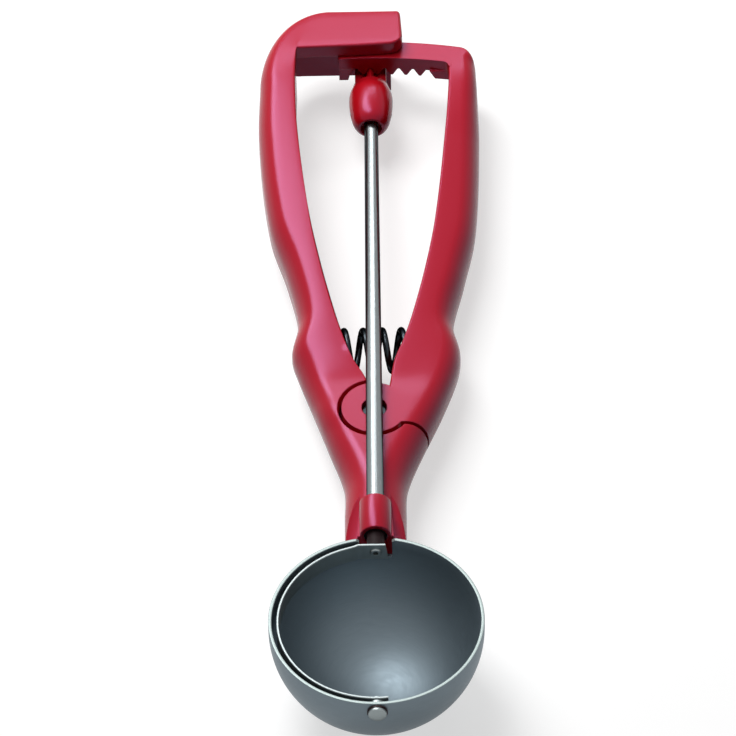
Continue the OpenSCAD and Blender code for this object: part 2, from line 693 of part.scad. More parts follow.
// Tip: the scraper's front end turns on a rivet through the bowl
tip_y = -bowl_r;
module tip_rivet() {
    head_y = tip_y - tip_washer_t - 0.05;
    inner_y = -band_r + scraper_t + 0.1;
    color(steel) {
        rod_y(head_y, inner_y - head_y + 0.5, tip_shank_r);
        rod_y(head_y - tip_head_h * 0.6, tip_head_h * 0.6, tip_head_r);
        intersection() {
            translate([0, head_y, axis_z]) sphere(tip_head_r * 1.14, $fn = fine);
            rod_y(head_y - tip_head_h, tip_head_h * 0.5, tip_head_r);
        }
        rod_y(inner_y, 0.6, tip_shank_r + 0.5);
    }
}
module tip_washer() {
    color(dark_plastic) tube_y(tip_y - tip_washer_t - 0.05, tip_washer_t, tip_head_r + 0.25, tip_shank_r);
}
module tip_spacer() { color(steel) tube_y(-bowl_in + 0.1, scraper_gap - 0.15, tip_head_r, tip_shank_r); }

module scraper() {
    color(steel) difference() {
        intersection() {
            translate([0, 0, axis_z - scraper_w / 2]) tube(scraper_w, band_r, band_r - scraper_t);
            translate([-bowl_r, -bowl_r, axis_z - scraper_w])
                cube([bowl_r + scraper_reach, 2 * bowl_r, 2 * scraper_w]);
        }
        rod_y(-bowl_r, 6, tip_shank_r + running);
        rod_y(bowl_r - 6, 6, tenon_r);
    }
}

// Drive rod: straight through its guide, then a gentle taper up to the pinion
journal_y = barrel_y + 8;
rod_end_y = wall_y + upper_bush_len - 0.4;
taper_y = neck_end_y + guide_len + 2;
module drive_rod() {
    color(steel) difference() {
        union() {
            rod_y(band_r - scraper_t - 0.3, scraper_t + 0.3 + eps, tenon_r);
            rod_y(band_r, taper_y - band_r, rod_r);
            translate([0, taper_y, axis_z]) rotate([-90, 0, 0])
                cylinder(barrel_y - taper_y, r1 = rod_r, r2 = rod_top_r, $fn = fine);
            rod_y(barrel_y, journal_y - barrel_y, rod_top_r);
            rod_y(journal_y, rod_end_y - journal_y, journal_r);
        }
        rod_y(band_r - scraper_t - 1, 1.2, tenon_r * 0.35);
        cross_pin(cut);
    }
}
cross_r = 0.7;
cross_half = barrel_r - 0.8;
module cross_pin(extra) {
    translate([-cross_half - extra, journal_y - 3.5, axis_z]) rotate([0, 90, 0])
        cylinder(2 * (cross_half + extra), r = cross_r, $fn = fine);
}
module pinion_cross_pin() { color(steel) cross_pin(0); }

// Pinion: involute teeth cut into the end of a round barrel
function inv(a) = tan(a) * 180 / PI - a;
function tooth_angle(r) =
    90 / pinion_teeth - backlash / 4 / pitch_r * 180 / PI + inv(pressure_angle) - inv(acos(min(1, base_r / r)));
function polar(r, a) = [r * cos(a), r * sin(a)];
barrel = [[0, 4], [1, 4.75], [3, 5.3], [7, barrel_r - 0.2], [11.5, barrel_r], [14.5, barrel_r - 0.25],
          [17, tip_r + 0.2], [barrel_len, tip_r], [barrel_len + teeth_len, tip_r]];
tooth_reach = 4.8;       // how far the tooth gaps run into the barrel
module pinion() {
    gap_y = teeth_y - tooth_reach;
    far = barrel_r + 1;
    radii = concat([root_r], steps(base_r, tip_r, 4));
    flank_a = [for (r = radii) polar(r, tooth_angle(r))];
    flank_b = [for (i = [len(radii) - 1:-1:0]) polar(radii[i], 360 / pinion_teeth - tooth_angle(radii[i]))];
    beyond = [polar(far, tooth_angle(tip_r)), polar(far * 1.2, 180 / pinion_teeth),
              polar(far, 360 / pinion_teeth - tooth_angle(tip_r))];
    color(plastic) difference() {
        translate([0, barrel_y, axis_z]) rotate([-90, 0, 0]) rotate_extrude($fn = fine)
            polygon(concat([[0, 0]], [for (s = barrel) [s[1], s[0]]], [[0, barrel_len + teeth_len]]));
        for (k = [0:pinion_teeth - 1]) translate([0, gap_y, axis_z]) rotate([-90, 0, 0])
            rotate([0, 0, 90 + 360 / pinion_teeth * k]) linear_extrude(tooth_reach + teeth_len + cut)
                polygon(concat(flank_a, beyond, flank_b));
        rod_y(barrel_y - cut, journal_y - barrel_y + cut, rod_top_r);
        rod_y(journal_y - eps, barrel_len + teeth_len, journal_r);
        cross_pin(cut + 1);
    }
}

module lower_guide_bush() {
    color("#D8D2C4") tube_y(neck_end_y + bush_inset, guide_len - 2 * bush_inset, guide_bush_r, rod_r + running);
}
module rod_end_bush() { color("#D8D2C4") tube_y(wall_y, upper_bush_len, bush_r, journal_r + running); }

fixed_handle();
fixed_back_cover();
fixed_cover_screws();
lower_guide_bush();
rod_end_bush();
bowl();
bowl_tang();
tang_screws();
tip_rivet();
tip_washer();
tip_spacer();
pivot_pin();
pivot_washer();
pivot_clip();
return_spring();
lever_handle();
lever_back_cover();
lever_cover_screws();
pivot_bush();
drive_rod();
pinion();
pinion_cross_pin();
scraper();
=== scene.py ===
"""Lever ice cream scoop: its visible pieces, finishes and studio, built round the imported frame."""
from math import acos, asin, atan2, cos, pi, radians, sin, sqrt, tan

import bmesh
import bpy
from bpy.props import FloatProperty, IntProperty, PointerProperty, StringProperty
from bpy.types import Operator, Panel, PropertyGroup
from mathutils import Matrix, Vector


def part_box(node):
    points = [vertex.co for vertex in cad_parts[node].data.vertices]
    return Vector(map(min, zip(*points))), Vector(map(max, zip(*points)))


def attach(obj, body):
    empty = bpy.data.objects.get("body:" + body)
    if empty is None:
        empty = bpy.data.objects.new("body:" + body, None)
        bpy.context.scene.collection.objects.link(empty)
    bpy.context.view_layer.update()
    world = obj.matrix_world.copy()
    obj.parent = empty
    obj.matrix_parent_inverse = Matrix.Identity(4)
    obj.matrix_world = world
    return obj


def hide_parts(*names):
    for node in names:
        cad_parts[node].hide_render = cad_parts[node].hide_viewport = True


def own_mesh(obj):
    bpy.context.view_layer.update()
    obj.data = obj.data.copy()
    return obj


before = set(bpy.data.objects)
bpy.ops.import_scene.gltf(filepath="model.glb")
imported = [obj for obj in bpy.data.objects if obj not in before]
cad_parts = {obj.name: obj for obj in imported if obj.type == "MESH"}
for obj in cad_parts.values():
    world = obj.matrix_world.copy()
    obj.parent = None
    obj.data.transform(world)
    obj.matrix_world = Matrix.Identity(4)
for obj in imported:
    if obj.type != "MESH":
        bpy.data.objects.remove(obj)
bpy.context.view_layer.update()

bl_info = {
    "name": "Lever ice cream scoop",
    "version": (1, 0, 0),
    "blender": (4, 5, 0),
    "location": "3D View > Sidebar > Scoop",
    "description": "Builds a lever ice cream scoop with its sprung grips, drive and scraper",
    "category": "Object",
}

MM = 0.001
FIXED, LEVER = -1, 1     # side of the rod on which each grip lies

# Places that the frame gives
BOWL_LOW, BOWL_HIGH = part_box("bowl")
BOWL_R = (BOWL_HIGH.x - BOWL_LOW.x) / 2
AXIS_Z = BOWL_LOW.z + BOWL_R
PIVOT = (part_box("pivot_washer")[0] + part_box("pivot_washer")[1]) / 2
PIVOT_Y = PIVOT.y
HANDLE_LOW, HANDLE_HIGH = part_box("fixed_handle")
NECK_END_Y = HANDLE_LOW.y
BACK_Z = HANDLE_LOW.z
COVER_TOP = HANDLE_HIGH.z
SPRING_LOW, SPRING_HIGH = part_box("return_spring")
SPRING_Y = (SPRING_LOW.y + SPRING_HIGH.y) / 2
SPRING_Z = (SPRING_LOW.z + SPRING_HIGH.z) / 2
PINION_LOW, PINION_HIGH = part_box("pinion")
ROD_R = (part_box("drive_rod")[1].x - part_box("drive_rod")[0].x) / 2
ROD_STEP_Y = PINION_LOW.y + 8 * MM       # where the rod steps down inside the pinion
JOURNAL_R = SHANK_R = 1.5 * MM           # the rod's thin ends and the rivet


def length(name, text, size):
    """A size in millimetres as a property in metres."""
    return FloatProperty(name=name, description=text, default=size * MM, unit="LENGTH", precision=5)


def number(name, text, value, **kind):
    """A plain number, an angle or a power as a property."""
    return FloatProperty(name=name, description=text, default=value, **kind)


def paint(name, text, value):
    """A colour as its sRGB hex value."""
    return StringProperty(name=name, description=text, default=value)


class ScoopHandle(PropertyGroup):
    """Sizes of the two grips."""
    neck_half: length("Neck", "Half width of the neck's end", 8.2)
    shoulder_half: length("Shoulder", "Half width of the handle at its shoulder", 22.1)
    waist_half: length("Waist", "Half width of the handle at its waist", 20.4)
    fixed_half: length("Fixed belly", "Half width of the fixed grip at its belly", 30.85)
    lever_half: length("Lever belly", "Half width of the lever grip at its belly", 29.69)
    grip_gap: length("Gap", "Half width of the gap between the grips at the belly", 20.2)
    lever_top: length("Lever top", "Height of the lever grip's top above the rim", 6.3)
    cover_len: length("Cover", "Length of the gear cover along the rod", 14.2)
    cover_reach: length("Cover reach", "Reach of the gear cover past the rod", 8.5)
    disc_r: length("Hub disc", "Radius of the hub discs", 8.75)
    seam: length("Seam", "Width of the seam round the discs", 0.8)
    rings: IntProperty(name="Rings", description="Rings along each grip", default=96, min=24)


class ScoopMetal(PropertyGroup):
    """Sizes of the metal pieces."""
    bowl_wall: length("Bowl wall", "Thickness of the bowl's wall", 0.9)
    band_w: length("Band width", "Width of the scraper band", 5.6)
    band_t: length("Band thickness", "Thickness of the scraper band", 0.65)
    band_gap: length("Band gap", "Gap between the band and the bowl's wall", 1.2)
    band_reach: length("Band reach", "Reach of the band's ends past the drive axis", 2.9)
    rod_top_r: length("Rod's upper radius", "Radius of the rod at the pinion", 1.9)
    wire_r: length("Wire radius", "Radius of the spring wire", 0.9)
    turns: number("Turns", "Turns of the spring", 4.2)


class ScoopColours(PropertyGroup):
    """Colours of the finishes."""
    red: paint("Red", "Moulded red of the grips", "#AC101B")
    pinion: paint("Pinion red", "Glossier red of the pinion", "#A80C18")
    bowl: paint("Bowl", "Satin grey of the bowl", "#707C83")
    # edge: the lighter metal of the rim's painted highlight
    edge: paint("Cut edge", "Bright edge of the bowl", "#828C8B")
    steel: paint("Steel", "Drawn steel of the rod", "#858B8D")
    satin: paint("Fasteners", "Plated steel of the rivet and screws", "#8B9394")
    # wire: also the painted shade of the pivot pin and the bowl's slot floor
    wire: paint("Wire", "Dark spring wire and blackened pin", "#303438")
    # bush: dark partly as painted shade at the guide's mouth and on the rod below it
    bush: paint("Bush", "Dark oiled acetal of the bushes", "#1E1214")
    dark: paint("Washer", "Dark nylon of the washer", "#2A1418")


class ScoopStudio(PropertyGroup):
    """Camera, lights and floor."""
    lens: number("Lens", "Focal length", 329.96)
    distance: length("Distance", "From the camera to the middle of the handle", 1800)
    elevation: number("Elevation", "Height of the camera over the rim's plane", radians(48.31),
                      subtype="ANGLE")
    azimuth: number("Azimuth", "Turn of the camera round the scoop", radians(0.68), subtype="ANGLE")
    roll: number("Roll", "Turn of the camera about its own axis", radians(-1.48), subtype="ANGLE")
    key_power: number("Key light", "Power of the large soft light", 7.8, subtype="POWER", unit="POWER")
    strip_power: number("Strip light", "Power of the light that lines the rod", 3.2,
                        subtype="POWER", unit="POWER")
    ambient: number("Ambient", "Strength of the light from all round", 0.06)


# ---------------- numbers


def mix(a, b, share):
    return a + (b - a) * share


def steps(start, end, count):
    return [mix(start, end, k / count) for k in range(count + 1)]


def smooth(rows, t):
    """Cubic through rows of (place, value)."""
    def slope(i):
        low, high = rows[max(i - 1, 0)], rows[min(i + 1, len(rows) - 1)]
        return (high[1] - low[1]) / (high[0] - low[0])
    i = max(k for k in range(len(rows) - 1) if k == 0 or t >= rows[k][0])
    h = rows[i + 1][0] - rows[i][0]
    u = min(1, max(0, (t - rows[i][0]) / h))
    v = 1 - u
    return (v * v * (1 + 2 * u) * rows[i][1] + u * u * (1 + 2 * v) * rows[i + 1][1]
            + u * v * h * (v * slope(i) - u * slope(i + 1)))


def circle(centre, across, along, r, count=64):
    """Points round a centre, in the plane of two directions."""
    turns = [2 * pi * k / count for k in range(count)]
    return [centre + r * cos(a) * across + r * sin(a) * along for a in turns]


X, Y, Z = Vector((1, 0, 0)), Vector((0, 1, 0)), Vector((0, 0, 1))


# ---------------- modelling


def pick(piece):
    """Leaves only this piece selected and active."""
    if bpy.context.object and bpy.context.object.mode != "OBJECT":
        bpy.ops.object.mode_set(mode="OBJECT")
    bpy.ops.object.select_all(action="DESELECT")
    piece.select_set(True)
    bpy.context.view_layer.objects.active = piece


def loft(name, rings):
    """A closed skin over rings of points: a disc is drawn on the first and extruded through the others."""
    bpy.ops.object.select_all(action="DESELECT")
    bpy.ops.mesh.primitive_circle_add(vertices=len(rings[0]), radius=MM, fill_type="NGON")
    piece = bpy.context.object
    piece.name = name
    bpy.ops.object.mode_set(mode="EDIT")
    mesh = bmesh.from_edit_mesh(piece.data)
    mesh.verts.ensure_lookup_table()
    loop = [corner.vert.index for corner in next(iter(mesh.faces)).loops]
    for index, point in zip(loop, rings[0]):
        mesh.verts[index].co = point
    for ring in rings[1:]:
        bpy.ops.mesh.extrude_region_move()
        mesh = bmesh.from_edit_mesh(piece.data)
        mesh.verts.index_update()
        mesh.verts.ensure_lookup_table()
        above = []
        for index, point in zip(loop, ring):
            vert = mesh.verts[index]
            new = next(e.other_vert(vert) for e in vert.link_edges if e.other_vert(vert).select)
            new.co = point
            above.append(new.index)
        loop = above
    bmesh.update_edit_mesh(piece.data)
    bpy.ops.mesh.select_all(action="SELECT")
    bpy.ops.mesh.normals_make_consistent(inside=False)
    bpy.ops.object.mode_set(mode="OBJECT")
    return piece


def upright(name, outline, low, high):
    """A prism that stands on an outline of (x, y)."""
    return loft(name, [[Vector((x, y, z)) for x, y in outline] for z in (low, high)])


def lengthwise(name, outline, start, end):
    """A prism along the rod over an outline of (x, z)."""
    return loft(name, [[Vector((x, y, z)) for x, z in outline] for y in (start, end)])


def block(name, low, high):
    """A box between two corners."""
    corners = [(low[0], low[1]), (high[0], low[1]), (high[0], high[1]), (low[0], high[1])]
    return upright(name, corners, low[2], high[2])


def barrel(name, profile, count=64):
    """A round shape about the rod's axis, through rows of (y, radius)."""
    return loft(name, [circle(Vector((0, y, AXIS_Z)), Z, X, r, count) for y, r in profile])


def disc(name, low, high, r, x=0, y=PIVOT_Y, count=96):
    """An upright cylinder, about the pivot unless it is told another place."""
    return loft(name, [circle(Vector((x, y, z)), X, Y, r, count) for z in (low, high)])


def combine(piece, how, *tools):
    """Cuts, adds or keeps what is common with other shapes, which are then removed."""
    for tool in tools:
        pick(piece)
        bpy.ops.object.modifier_add(type="BOOLEAN")
        step = piece.modifiers[-1]
        step.operation, step.solver, step.object = how, "EXACT", tool
        bpy.ops.object.modifier_apply(modifier=step.name)
        bpy.data.objects.remove(tool)
    return piece


def cut(piece, *tools):
    return combine(piece, "DIFFERENCE", *tools)


def add_on(piece, *tools):
    return combine(piece, "UNION", *tools)


def touch_up(piece, finish, chosen):
    """Gives some faces of a dressed piece another finish."""
    piece.data.materials.append(bpy.data.materials[finish])
    for face in piece.data.polygons:
        if chosen(face):
            face.material_index = len(piece.data.materials) - 1


def dress(piece, finish, body, slot, *nodes, crease=35):
    """Shades a finished piece, gives it its finish and puts it in its CAD node's place."""
    pick(piece)
    bpy.ops.object.shade_smooth_by_angle(angle=radians(crease))
    piece.data.materials.clear()
    piece.data.materials.append(bpy.data.materials[finish])
    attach(piece, body)
    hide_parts(*nodes)


# ---------------- grips

RACK_IN, RACK_W = 118.3 * MM, 6.2 * MM      # the rack's inner radius about the pivot, and its width
RACK_OUT = RACK_IN + RACK_W
COVER_Y = PIVOT_Y + RACK_IN
FACE_Z = AXIS_Z - ROD_R - 0.3 * MM          # front of the neck and hub, just behind the rod
GRIP_BACK = -7.5 * MM                       # back of the grips at the rack
SPLIT_Z = -12.3 * MM                        # where the lever's hub lies on the fixed one

# Places along a grip, from the pivot
NECK = NECK_END_Y - PIVOT_Y
FLARE, FORK, SPLIT, HUB, CHEST, SHOULDER = -22 * MM, -8 * MM, -5 * MM, 4 * MM, 17 * MM, 23.5 * MM
WAIST, HIP, THIGH, BELLY, TAPER = 33 * MM, 48 * MM, 64 * MM, 92 * MM, 6 * MM
CORNER_X, CORNER_Y = 19 * MM, 24 * MM       # the fixed grip's outer corner is part of an ellipse

# How far a grip has widened, from neck to shoulder at flare, fork, hub and chest, and from waist to belly
# at hip and thigh
FIXED_WIDENS = (0.007, 0.305, 0.58, 0.885, 0.28, 0.725)
LEVER_WIDENS = (0.035, 0.358, 0.675, 0.96, 0.4, 0.81)
GAP_WIDENS = [(CHEST, 0.275), (SHOULDER, 0.395), (WAIST, 0.534), (HIP, 0.709), (THIGH, 0.85), (BELLY, 1)]

CUT = 0.5 * MM       # how far a cutting tool passes the face that it cuts
DEEP = 40 * MM       # length of a cutting tool that goes right through
HOLE_SIDES = 48


def outer_rows(h, lever):
    """Half width along a grip."""
    extra = 1.2 * MM if lever else 0
    neck, shoulder, waist = h.neck_half, h.shoulder_half + extra, h.waist_half + extra
    belly, inset = (h.lever_half, 0.25 * MM) if lever else (h.fixed_half, 0.5 * MM)
    flare, fork, hub, chest, hip, thigh = LEVER_WIDENS if lever else FIXED_WIDENS
    return [(NECK, neck), (1.5 * FLARE, neck), (FLARE, mix(neck, shoulder, flare)),
            (FORK, mix(neck, shoulder, fork)), (HUB, mix(neck, shoulder, hub)),
            (CHEST, mix(neck, shoulder, chest)), (SHOULDER, shoulder), (WAIST, waist),
            (HIP, mix(waist, belly, hip)), (THIGH, mix(waist, belly, thigh)), (BELLY, belly),
            (RACK_IN - TAPER, belly - inset), (RACK_OUT, belly - 3 * inset)]


def gap_rows(h, lever):
    """Half width of the gap along a grip."""
    crotch, web = 1.4 * MM, 1.2 * MM
    if lever:
        start = [(1.5 * FORK, 2 * crotch), (0, 2 * crotch), (h.disc_r, 3 * crotch)]
        top = h.grip_gap + crotch
    else:
        start = [(SPLIT, -smooth(outer_rows(h, True), SPLIT)), (HUB / 2, -h.disc_r / 2 - web),
                 (h.disc_r, crotch), (h.disc_r + 3 * MM, crotch + web)]
        top = h.grip_gap + web / 2
    return (start + [(t, share * h.grip_gap) for t, share in GAP_WIDENS]
            + [(RACK_IN - TAPER, top), (RACK_OUT, top)])


# Shape of the outline along a grip: the rise of its front and back, the radii of its outer and inner back
# edges, the width and height of its front's two roundings, and the fall of its crowned front
FRONT_RISE = [(NECK, 0), (HUB, 0), (3 * HUB, 0), (SHOULDER, 0.1), (BELLY, 0.775),
              (RACK_IN - TAPER, 0.965), (RACK_IN, 1), (RACK_OUT, 1)]
BACK_RISE = [(NECK, 0), (SHOULDER, 0), (HIP, 0.15), (RACK_IN, 1)]
OUTER_ROUND = [(NECK, 4 * MM), (FLARE, 4.2 * MM), (HUB, 5 * MM), (WAIST, 6 * MM),
               (RACK_IN - 2 * TAPER, 6 * MM), (RACK_IN, 4.5 * MM)]
INNER_ROUND = [(NECK, 4 * MM), (FLARE, 4.2 * MM), (SPLIT, 4.7 * MM), (HUB, 1.2 * MM),
               (RACK_IN, 1.2 * MM)]
NECK_WIDE, NECK_HIGH = 7.9 * MM, 8 * MM      # the neck's top is almost a half ellipse
SHOULDER_WIDE = [(NECK, NECK_WIDE), (FLARE, NECK_WIDE), (FORK, 6.8 * MM), (HUB, 6 * MM),
                 (SHOULDER, 5.2 * MM), (WAIST, 5 * MM), (BELLY, 4.8 * MM), (RACK_IN, 4.3 * MM)]
SHOULDER_HIGH = [(NECK, NECK_HIGH), (FLARE, NECK_HIGH), (HUB, 6.5 * MM), (BELLY, 6 * MM),
                 (RACK_IN - 2 * TAPER, 6 * MM), (RACK_IN, 4.5 * MM)]
EDGE = 0.6 * MM          # radius of a grip's inner edges
INNER_TOP_WIDE = [(NECK, NECK_WIDE), (FLARE, NECK_WIDE), (SPLIT, 6.6 * MM), (HUB, EDGE), (RACK_IN, EDGE)]
INNER_TOP_HIGH = [(NECK, NECK_HIGH), (FLARE, NECK_HIGH), (SPLIT, 7 * MM), (HUB, EDGE), (RACK_IN, EDGE)]
FIXED_CROWN = [(NECK, 0.1 * MM), (FORK, 0.3 * MM), (HUB, 0.7 * MM), (SHOULDER, 1.4 * MM),
               (BELLY, 1.2 * MM), (RACK_IN - 2 * TAPER, 1 * MM), (RACK_IN, 0.5 * MM)]
LEVER_CROWN = [(2 * FORK, 0), (HUB, 0), (3 * HUB, 0), (SHOULDER, 1 * MM), (WAIST, 1.6 * MM),
               (BELLY, 1.6 * MM), (RACK_IN - 2 * TAPER, 0.5 * MM), (RACK_IN - TAPER, 0), (RACK_OUT, 0)]
SOFT_CROWN = 1.3         # power of the fall: a higher one keeps the front flat for longer
CROWN_POWER = [(HUB, 3), (WAIST, 2.4), (THIGH, 1.4), (BELLY, SOFT_CROWN), (RACK_IN, SOFT_CROWN)]
BACK_CROWN = 0.5 * MM


class Section:
    """Outline of a grip across its length."""

    def __init__(self, outer, inner, top, low, shoulder, inner_top, belly, edge, crown, lean,
                 power=SOFT_CROWN):
        self.outer, self.inner, self.top, self.low = Vector(outer), Vector(inner), top, low
        self.shoulder, self.inner_top = shoulder, inner_top     # (width, height) of the front's roundings
        self.belly, self.edge = belly, edge       # radii of the back's roundings
        self.crown, self.power = crown, power     # how far and how evenly the front falls
        self.lean = lean      # 0 where it falls from its middle, 1 where it falls from its inner edge

    def ring(self, side):
        """Points round the outline: wide outer shoulder, top, inner edges, back and outer belly."""
        across = self.inner - self.outer
        w = across.length
        d = across / w
        (wide, high), (inner_wide, inner_high) = self.shoulder, self.inner_top
        least = 0.1 * MM      # flat wall between the front's and the back's roundings
        room = self.top - self.low - self.crown - BACK_CROWN - least
        high, inner_high = min(high, room - self.belly), min(inner_high, room - self.edge)

        def bend(q, z, rq, rz, start, end, count):
            turns = [radians(a) for a in steps(start, end, count)]
            return [(q + rq * cos(a), z + rz * sin(a)) for a in turns]
        front = (bend(wide, self.top - high, wide, high, 180, 90, 10)
                 + [(q, self.top) for q in steps(wide, w - inner_wide, 5)[1:-1]]
                 + bend(w - inner_wide, self.top - inner_high, inner_wide, inner_high, 90, 0, 10))
        back = (bend(w - self.edge, self.low + self.edge, self.edge, self.edge, 0, -90, 5)
                + [(q, self.low) for q in steps(w - self.edge, self.belly, 4)[1:-1]]
                + bend(self.belly, self.low + self.belly, self.belly, self.belly, -90, -180, 7))
        power = mix(2, self.power, self.lean)
        outline = [(q, z - self.crown * abs(mix(2 * q / w - 1, 1 - q / w, self.lean)) ** power)
                   for q, z in front]
        outline += [(q, z + BACK_CROWN * (2 * q / w - 1) ** 2) for q, z in back]
        return [Vector((side * at.x, at.y, z)) for at, z in ((self.outer + d * q, z) for q, z in outline)]


def heights(t, full):
    """Front and back of a grip: the front rises from the hub's face to its full height."""
    return mix(FACE_Z, full, min(1, smooth(FRONT_RISE, t))), mix(BACK_Z, GRIP_BACK, smooth(BACK_RISE, t))


def grip_section(h, t, lever):
    """The outline of a grip at a distance from the pivot."""
    half, inside = smooth(outer_rows(h, lever), t), smooth(gap_rows(h, lever), t)
    if lever:
        edge = inner_wide = inner_high = EDGE
        full, crown = h.lever_top, LEVER_CROWN
    else:
        inner_rows = INNER_ROUND, INNER_TOP_WIDE, INNER_TOP_HIGH
        edge, inner_wide, inner_high = [smooth(rows, t) for rows in inner_rows]
        full, crown = COVER_TOP, FIXED_CROWN
        if t < SPLIT:      # the neck is one bar, and its right side follows the lever's outline
            inside = -smooth(outer_rows(h, True), t)
    flat = 0.4 * MM        # left between the roundings
    wide = min(smooth(SHOULDER_WIDE, t), half - inside - inner_wide - flat)
    belly = min(smooth(OUTER_ROUND, t), half - inside - edge - flat)
    lean = min(1, max(0, (t - SPLIT) / (HUB - SPLIT)))
    return Section((half, PIVOT_Y + t), (inside, PIVOT_Y + t), *heights(t, full),
                   (wide, smooth(SHOULDER_HIGH, t)), (inner_wide, inner_high), belly, edge,
                   smooth(crown, t), lean, smooth(CROWN_POWER, t))


def slab(name, h, lever, start, end, spread, low, high, count=24):
    """A slice along a grip's back, for its cover and its hollow."""
    side = LEVER if lever else FIXED
    rings = []
    for t in steps(start, end, count):
        s = grip_section(h, t, lever)
        o, i = s.outer.x + spread, s.inner.x - spread
        corners = (o, low), (o, high), (i, high), (i, low)
        rings.append([Vector((side * x, s.outer.y, s.low + z)) for x, z in corners])
    return loft(name, rings)


LID_FROM, LID_TO, LID_SIDE, LID_GAP = 40 * MM, 102 * MM, 4 * MM, 0.1 * MM
LID_OVER, LID_BELOW = 2 * MM, 3 * MM      # how far a seat's tool passes the grip's sides and back
SCREW_INSET, SCREW_R, SCREW_HEAD_R, SCREW_HEAD_H = 4.2 * MM, 1.1 * MM, 2 * MM, 1.4 * MM
SCREW_LEN = 8.5 * MM


def lid_holes(h, lever, gap):
    """Cutting tools for the two screws of a back cover."""
    side = LEVER if lever else FIXED
    tools = []
    for t in (LID_FROM + SCREW_INSET, LID_TO - SCREW_INSET):
        s = grip_section(h, t, lever)
        x = side * (s.outer.x + s.inner.x) / 2
        for depth, r in ((SCREW_HEAD_H, SCREW_HEAD_R + gap), (SCREW_LEN, SCREW_R)):
            tools.append(disc("hole", s.low - CUT, s.low + BACK_CROWN + depth, r, x, PIVOT_Y + t, HOLE_SIDES))
    return tools


def hollow(h, lever):
    """Cutting tools for the room behind a back cover."""
    inside = LID_FROM + 2 * SCREW_INSET, LID_TO - 2 * SCREW_INSET
    wall, depth = 2.4 * MM, 7 * MM
    return [slab("seat", h, lever, LID_FROM, LID_TO, LID_OVER, -LID_BELOW, LID_SIDE),
            slab("room", h, lever, *inside, -wall, LID_SIDE - MM, LID_SIDE + depth)]


COIL_R = 6.4 * MM        # outer radius of the return spring and of its seats


def spring_pocket(side):
    """Cutting tool for a spring's seat, with its peg left standing."""
    def tube(name, start, end, r):
        return loft(name, [circle(Vector((side * x, SPRING_Y, SPRING_Z)), Y, Z, r) for x in (start, end)])
    seat, peg, peg_r = 11.8 * MM, 2.5 * MM, 4.2 * MM
    return cut(tube("pocket", 0, seat, COIL_R), tube("peg", seat - peg, seat + CUT, peg_r))


SEAM_C, SEAM_R = Vector((9 * MM, PIVOT_Y - 25 * MM)), 19.1 * MM      # the arc on which the lever grip ends
RECESS_R, RECESS_DEPTH, PIN_R, BUSH_WALL = 3.4 * MM, 2.6 * MM, 2 * MM, 0.95 * MM
LUG_Y, LUG_LEN, FOOT_DROP = PINION_HIGH.y + 0.3 * MM, 5.4 * MM, 13.6 * MM
LAP = 0.6 * MM           # how far the cover's bar and its cavity run into the fixed grip


def fixed_blank(h):
    """The fixed grip's bar: straight run, outer corner and the bar that carries the gear cover."""
    end_y = COVER_Y + h.cover_len
    corner_y = end_y - CORNER_Y
    start = grip_section(h, corner_y - PIVOT_Y, False)
    corner_x = start.outer.x - CORNER_X
    gap_top = smooth(gap_rows(h, False), RACK_IN)
    edge, belly, rise = 0.9 * MM, 4.5 * MM, 1.3 * MM
    front_y = COVER_Y + 0.3 * MM
    rings = [grip_section(h, t, False).ring(FIXED) for t in steps(NECK, corner_y - PIVOT_Y, h.rings)]
    for share in steps(0, 1, 32)[1:]:
        a = pi / 2 * share
        inner_y = mix(corner_y, front_y, sin(a) ** 0.9)      # the inner corner is a little sharper
        t = inner_y - PIVOT_Y
        s = Section((corner_x + CORNER_X * cos(a), corner_y + CORNER_Y * sin(a)),
                    (mix(start.inner.x, gap_top - LAP, share), inner_y), *heights(t, COVER_TOP),
                    [mix(value, edge, share) for value in start.shoulder], (EDGE, EDGE),
                    mix(start.belly, belly, share), EDGE, start.crown * (1 - share) ** 2, 1)
        rings.append(s.ring(FIXED))
    near_r, edge_r, slant = 3.6 * MM, 1 * MM, 0.5 * MM     # the cover's end: rounded corner near the pinion
    bar = [(x, 0, 0) for x in (corner_x - 8 * MM, 0, 2 * near_r - h.cover_reach)]
    for a in steps(0, radians(86), 10):
        left = near_r * (1 - sin(a))
        rest = max(0, edge_r - left)
        inset = edge_r - sqrt(edge_r ** 2 - rest ** 2)
        bar.append((left - h.cover_reach, near_r * (1 - cos(a)), inset))
    for x, near, inset in bar:
        share = (corner_x - x) / (corner_x + h.cover_reach)
        s = Section((x, end_y - inset), (x - slant * share, front_y + rise * share + near),
                    COVER_TOP - inset, GRIP_BACK + inset, (edge, edge), (EDGE, EDGE), belly, EDGE, 0, 1)
        rings.append(s.ring(FIXED))
    return loft("fixed_grip", rings), gap_top


def sloped_sides():
    """Cutting tools that slope the neck down to the bowl on both sides of the rod guide."""
    fall = tan(radians(25))
    top_y, floor_z = NECK_END_Y + 19.6 * MM, -12.4 * MM
    web, flare = 3.9 * MM, 1 * MM      # half width left for the guide's web, and its growth to the neck's end
    low_y, high_y = NECK_END_Y - 5 * MM, top_y + 10 * MM
    flat_y, high = top_y - (FACE_Z - floor_z) / fall, FACE_Z + 10 * MM * fall
    outline = [(low_y, floor_z), (flat_y, floor_z), (high_y, high), (low_y, high)]
    near = [(web + flare * (top_y - y) / (top_y - NECK_END_Y), y, z) for y, z in outline]
    return [loft("slope", [[Vector((side * x, y, z)) for x, y, z in near],
                           [Vector((side * DEEP, y, z)) for x, y, z in near]]) for side in (FIXED, LEVER)]


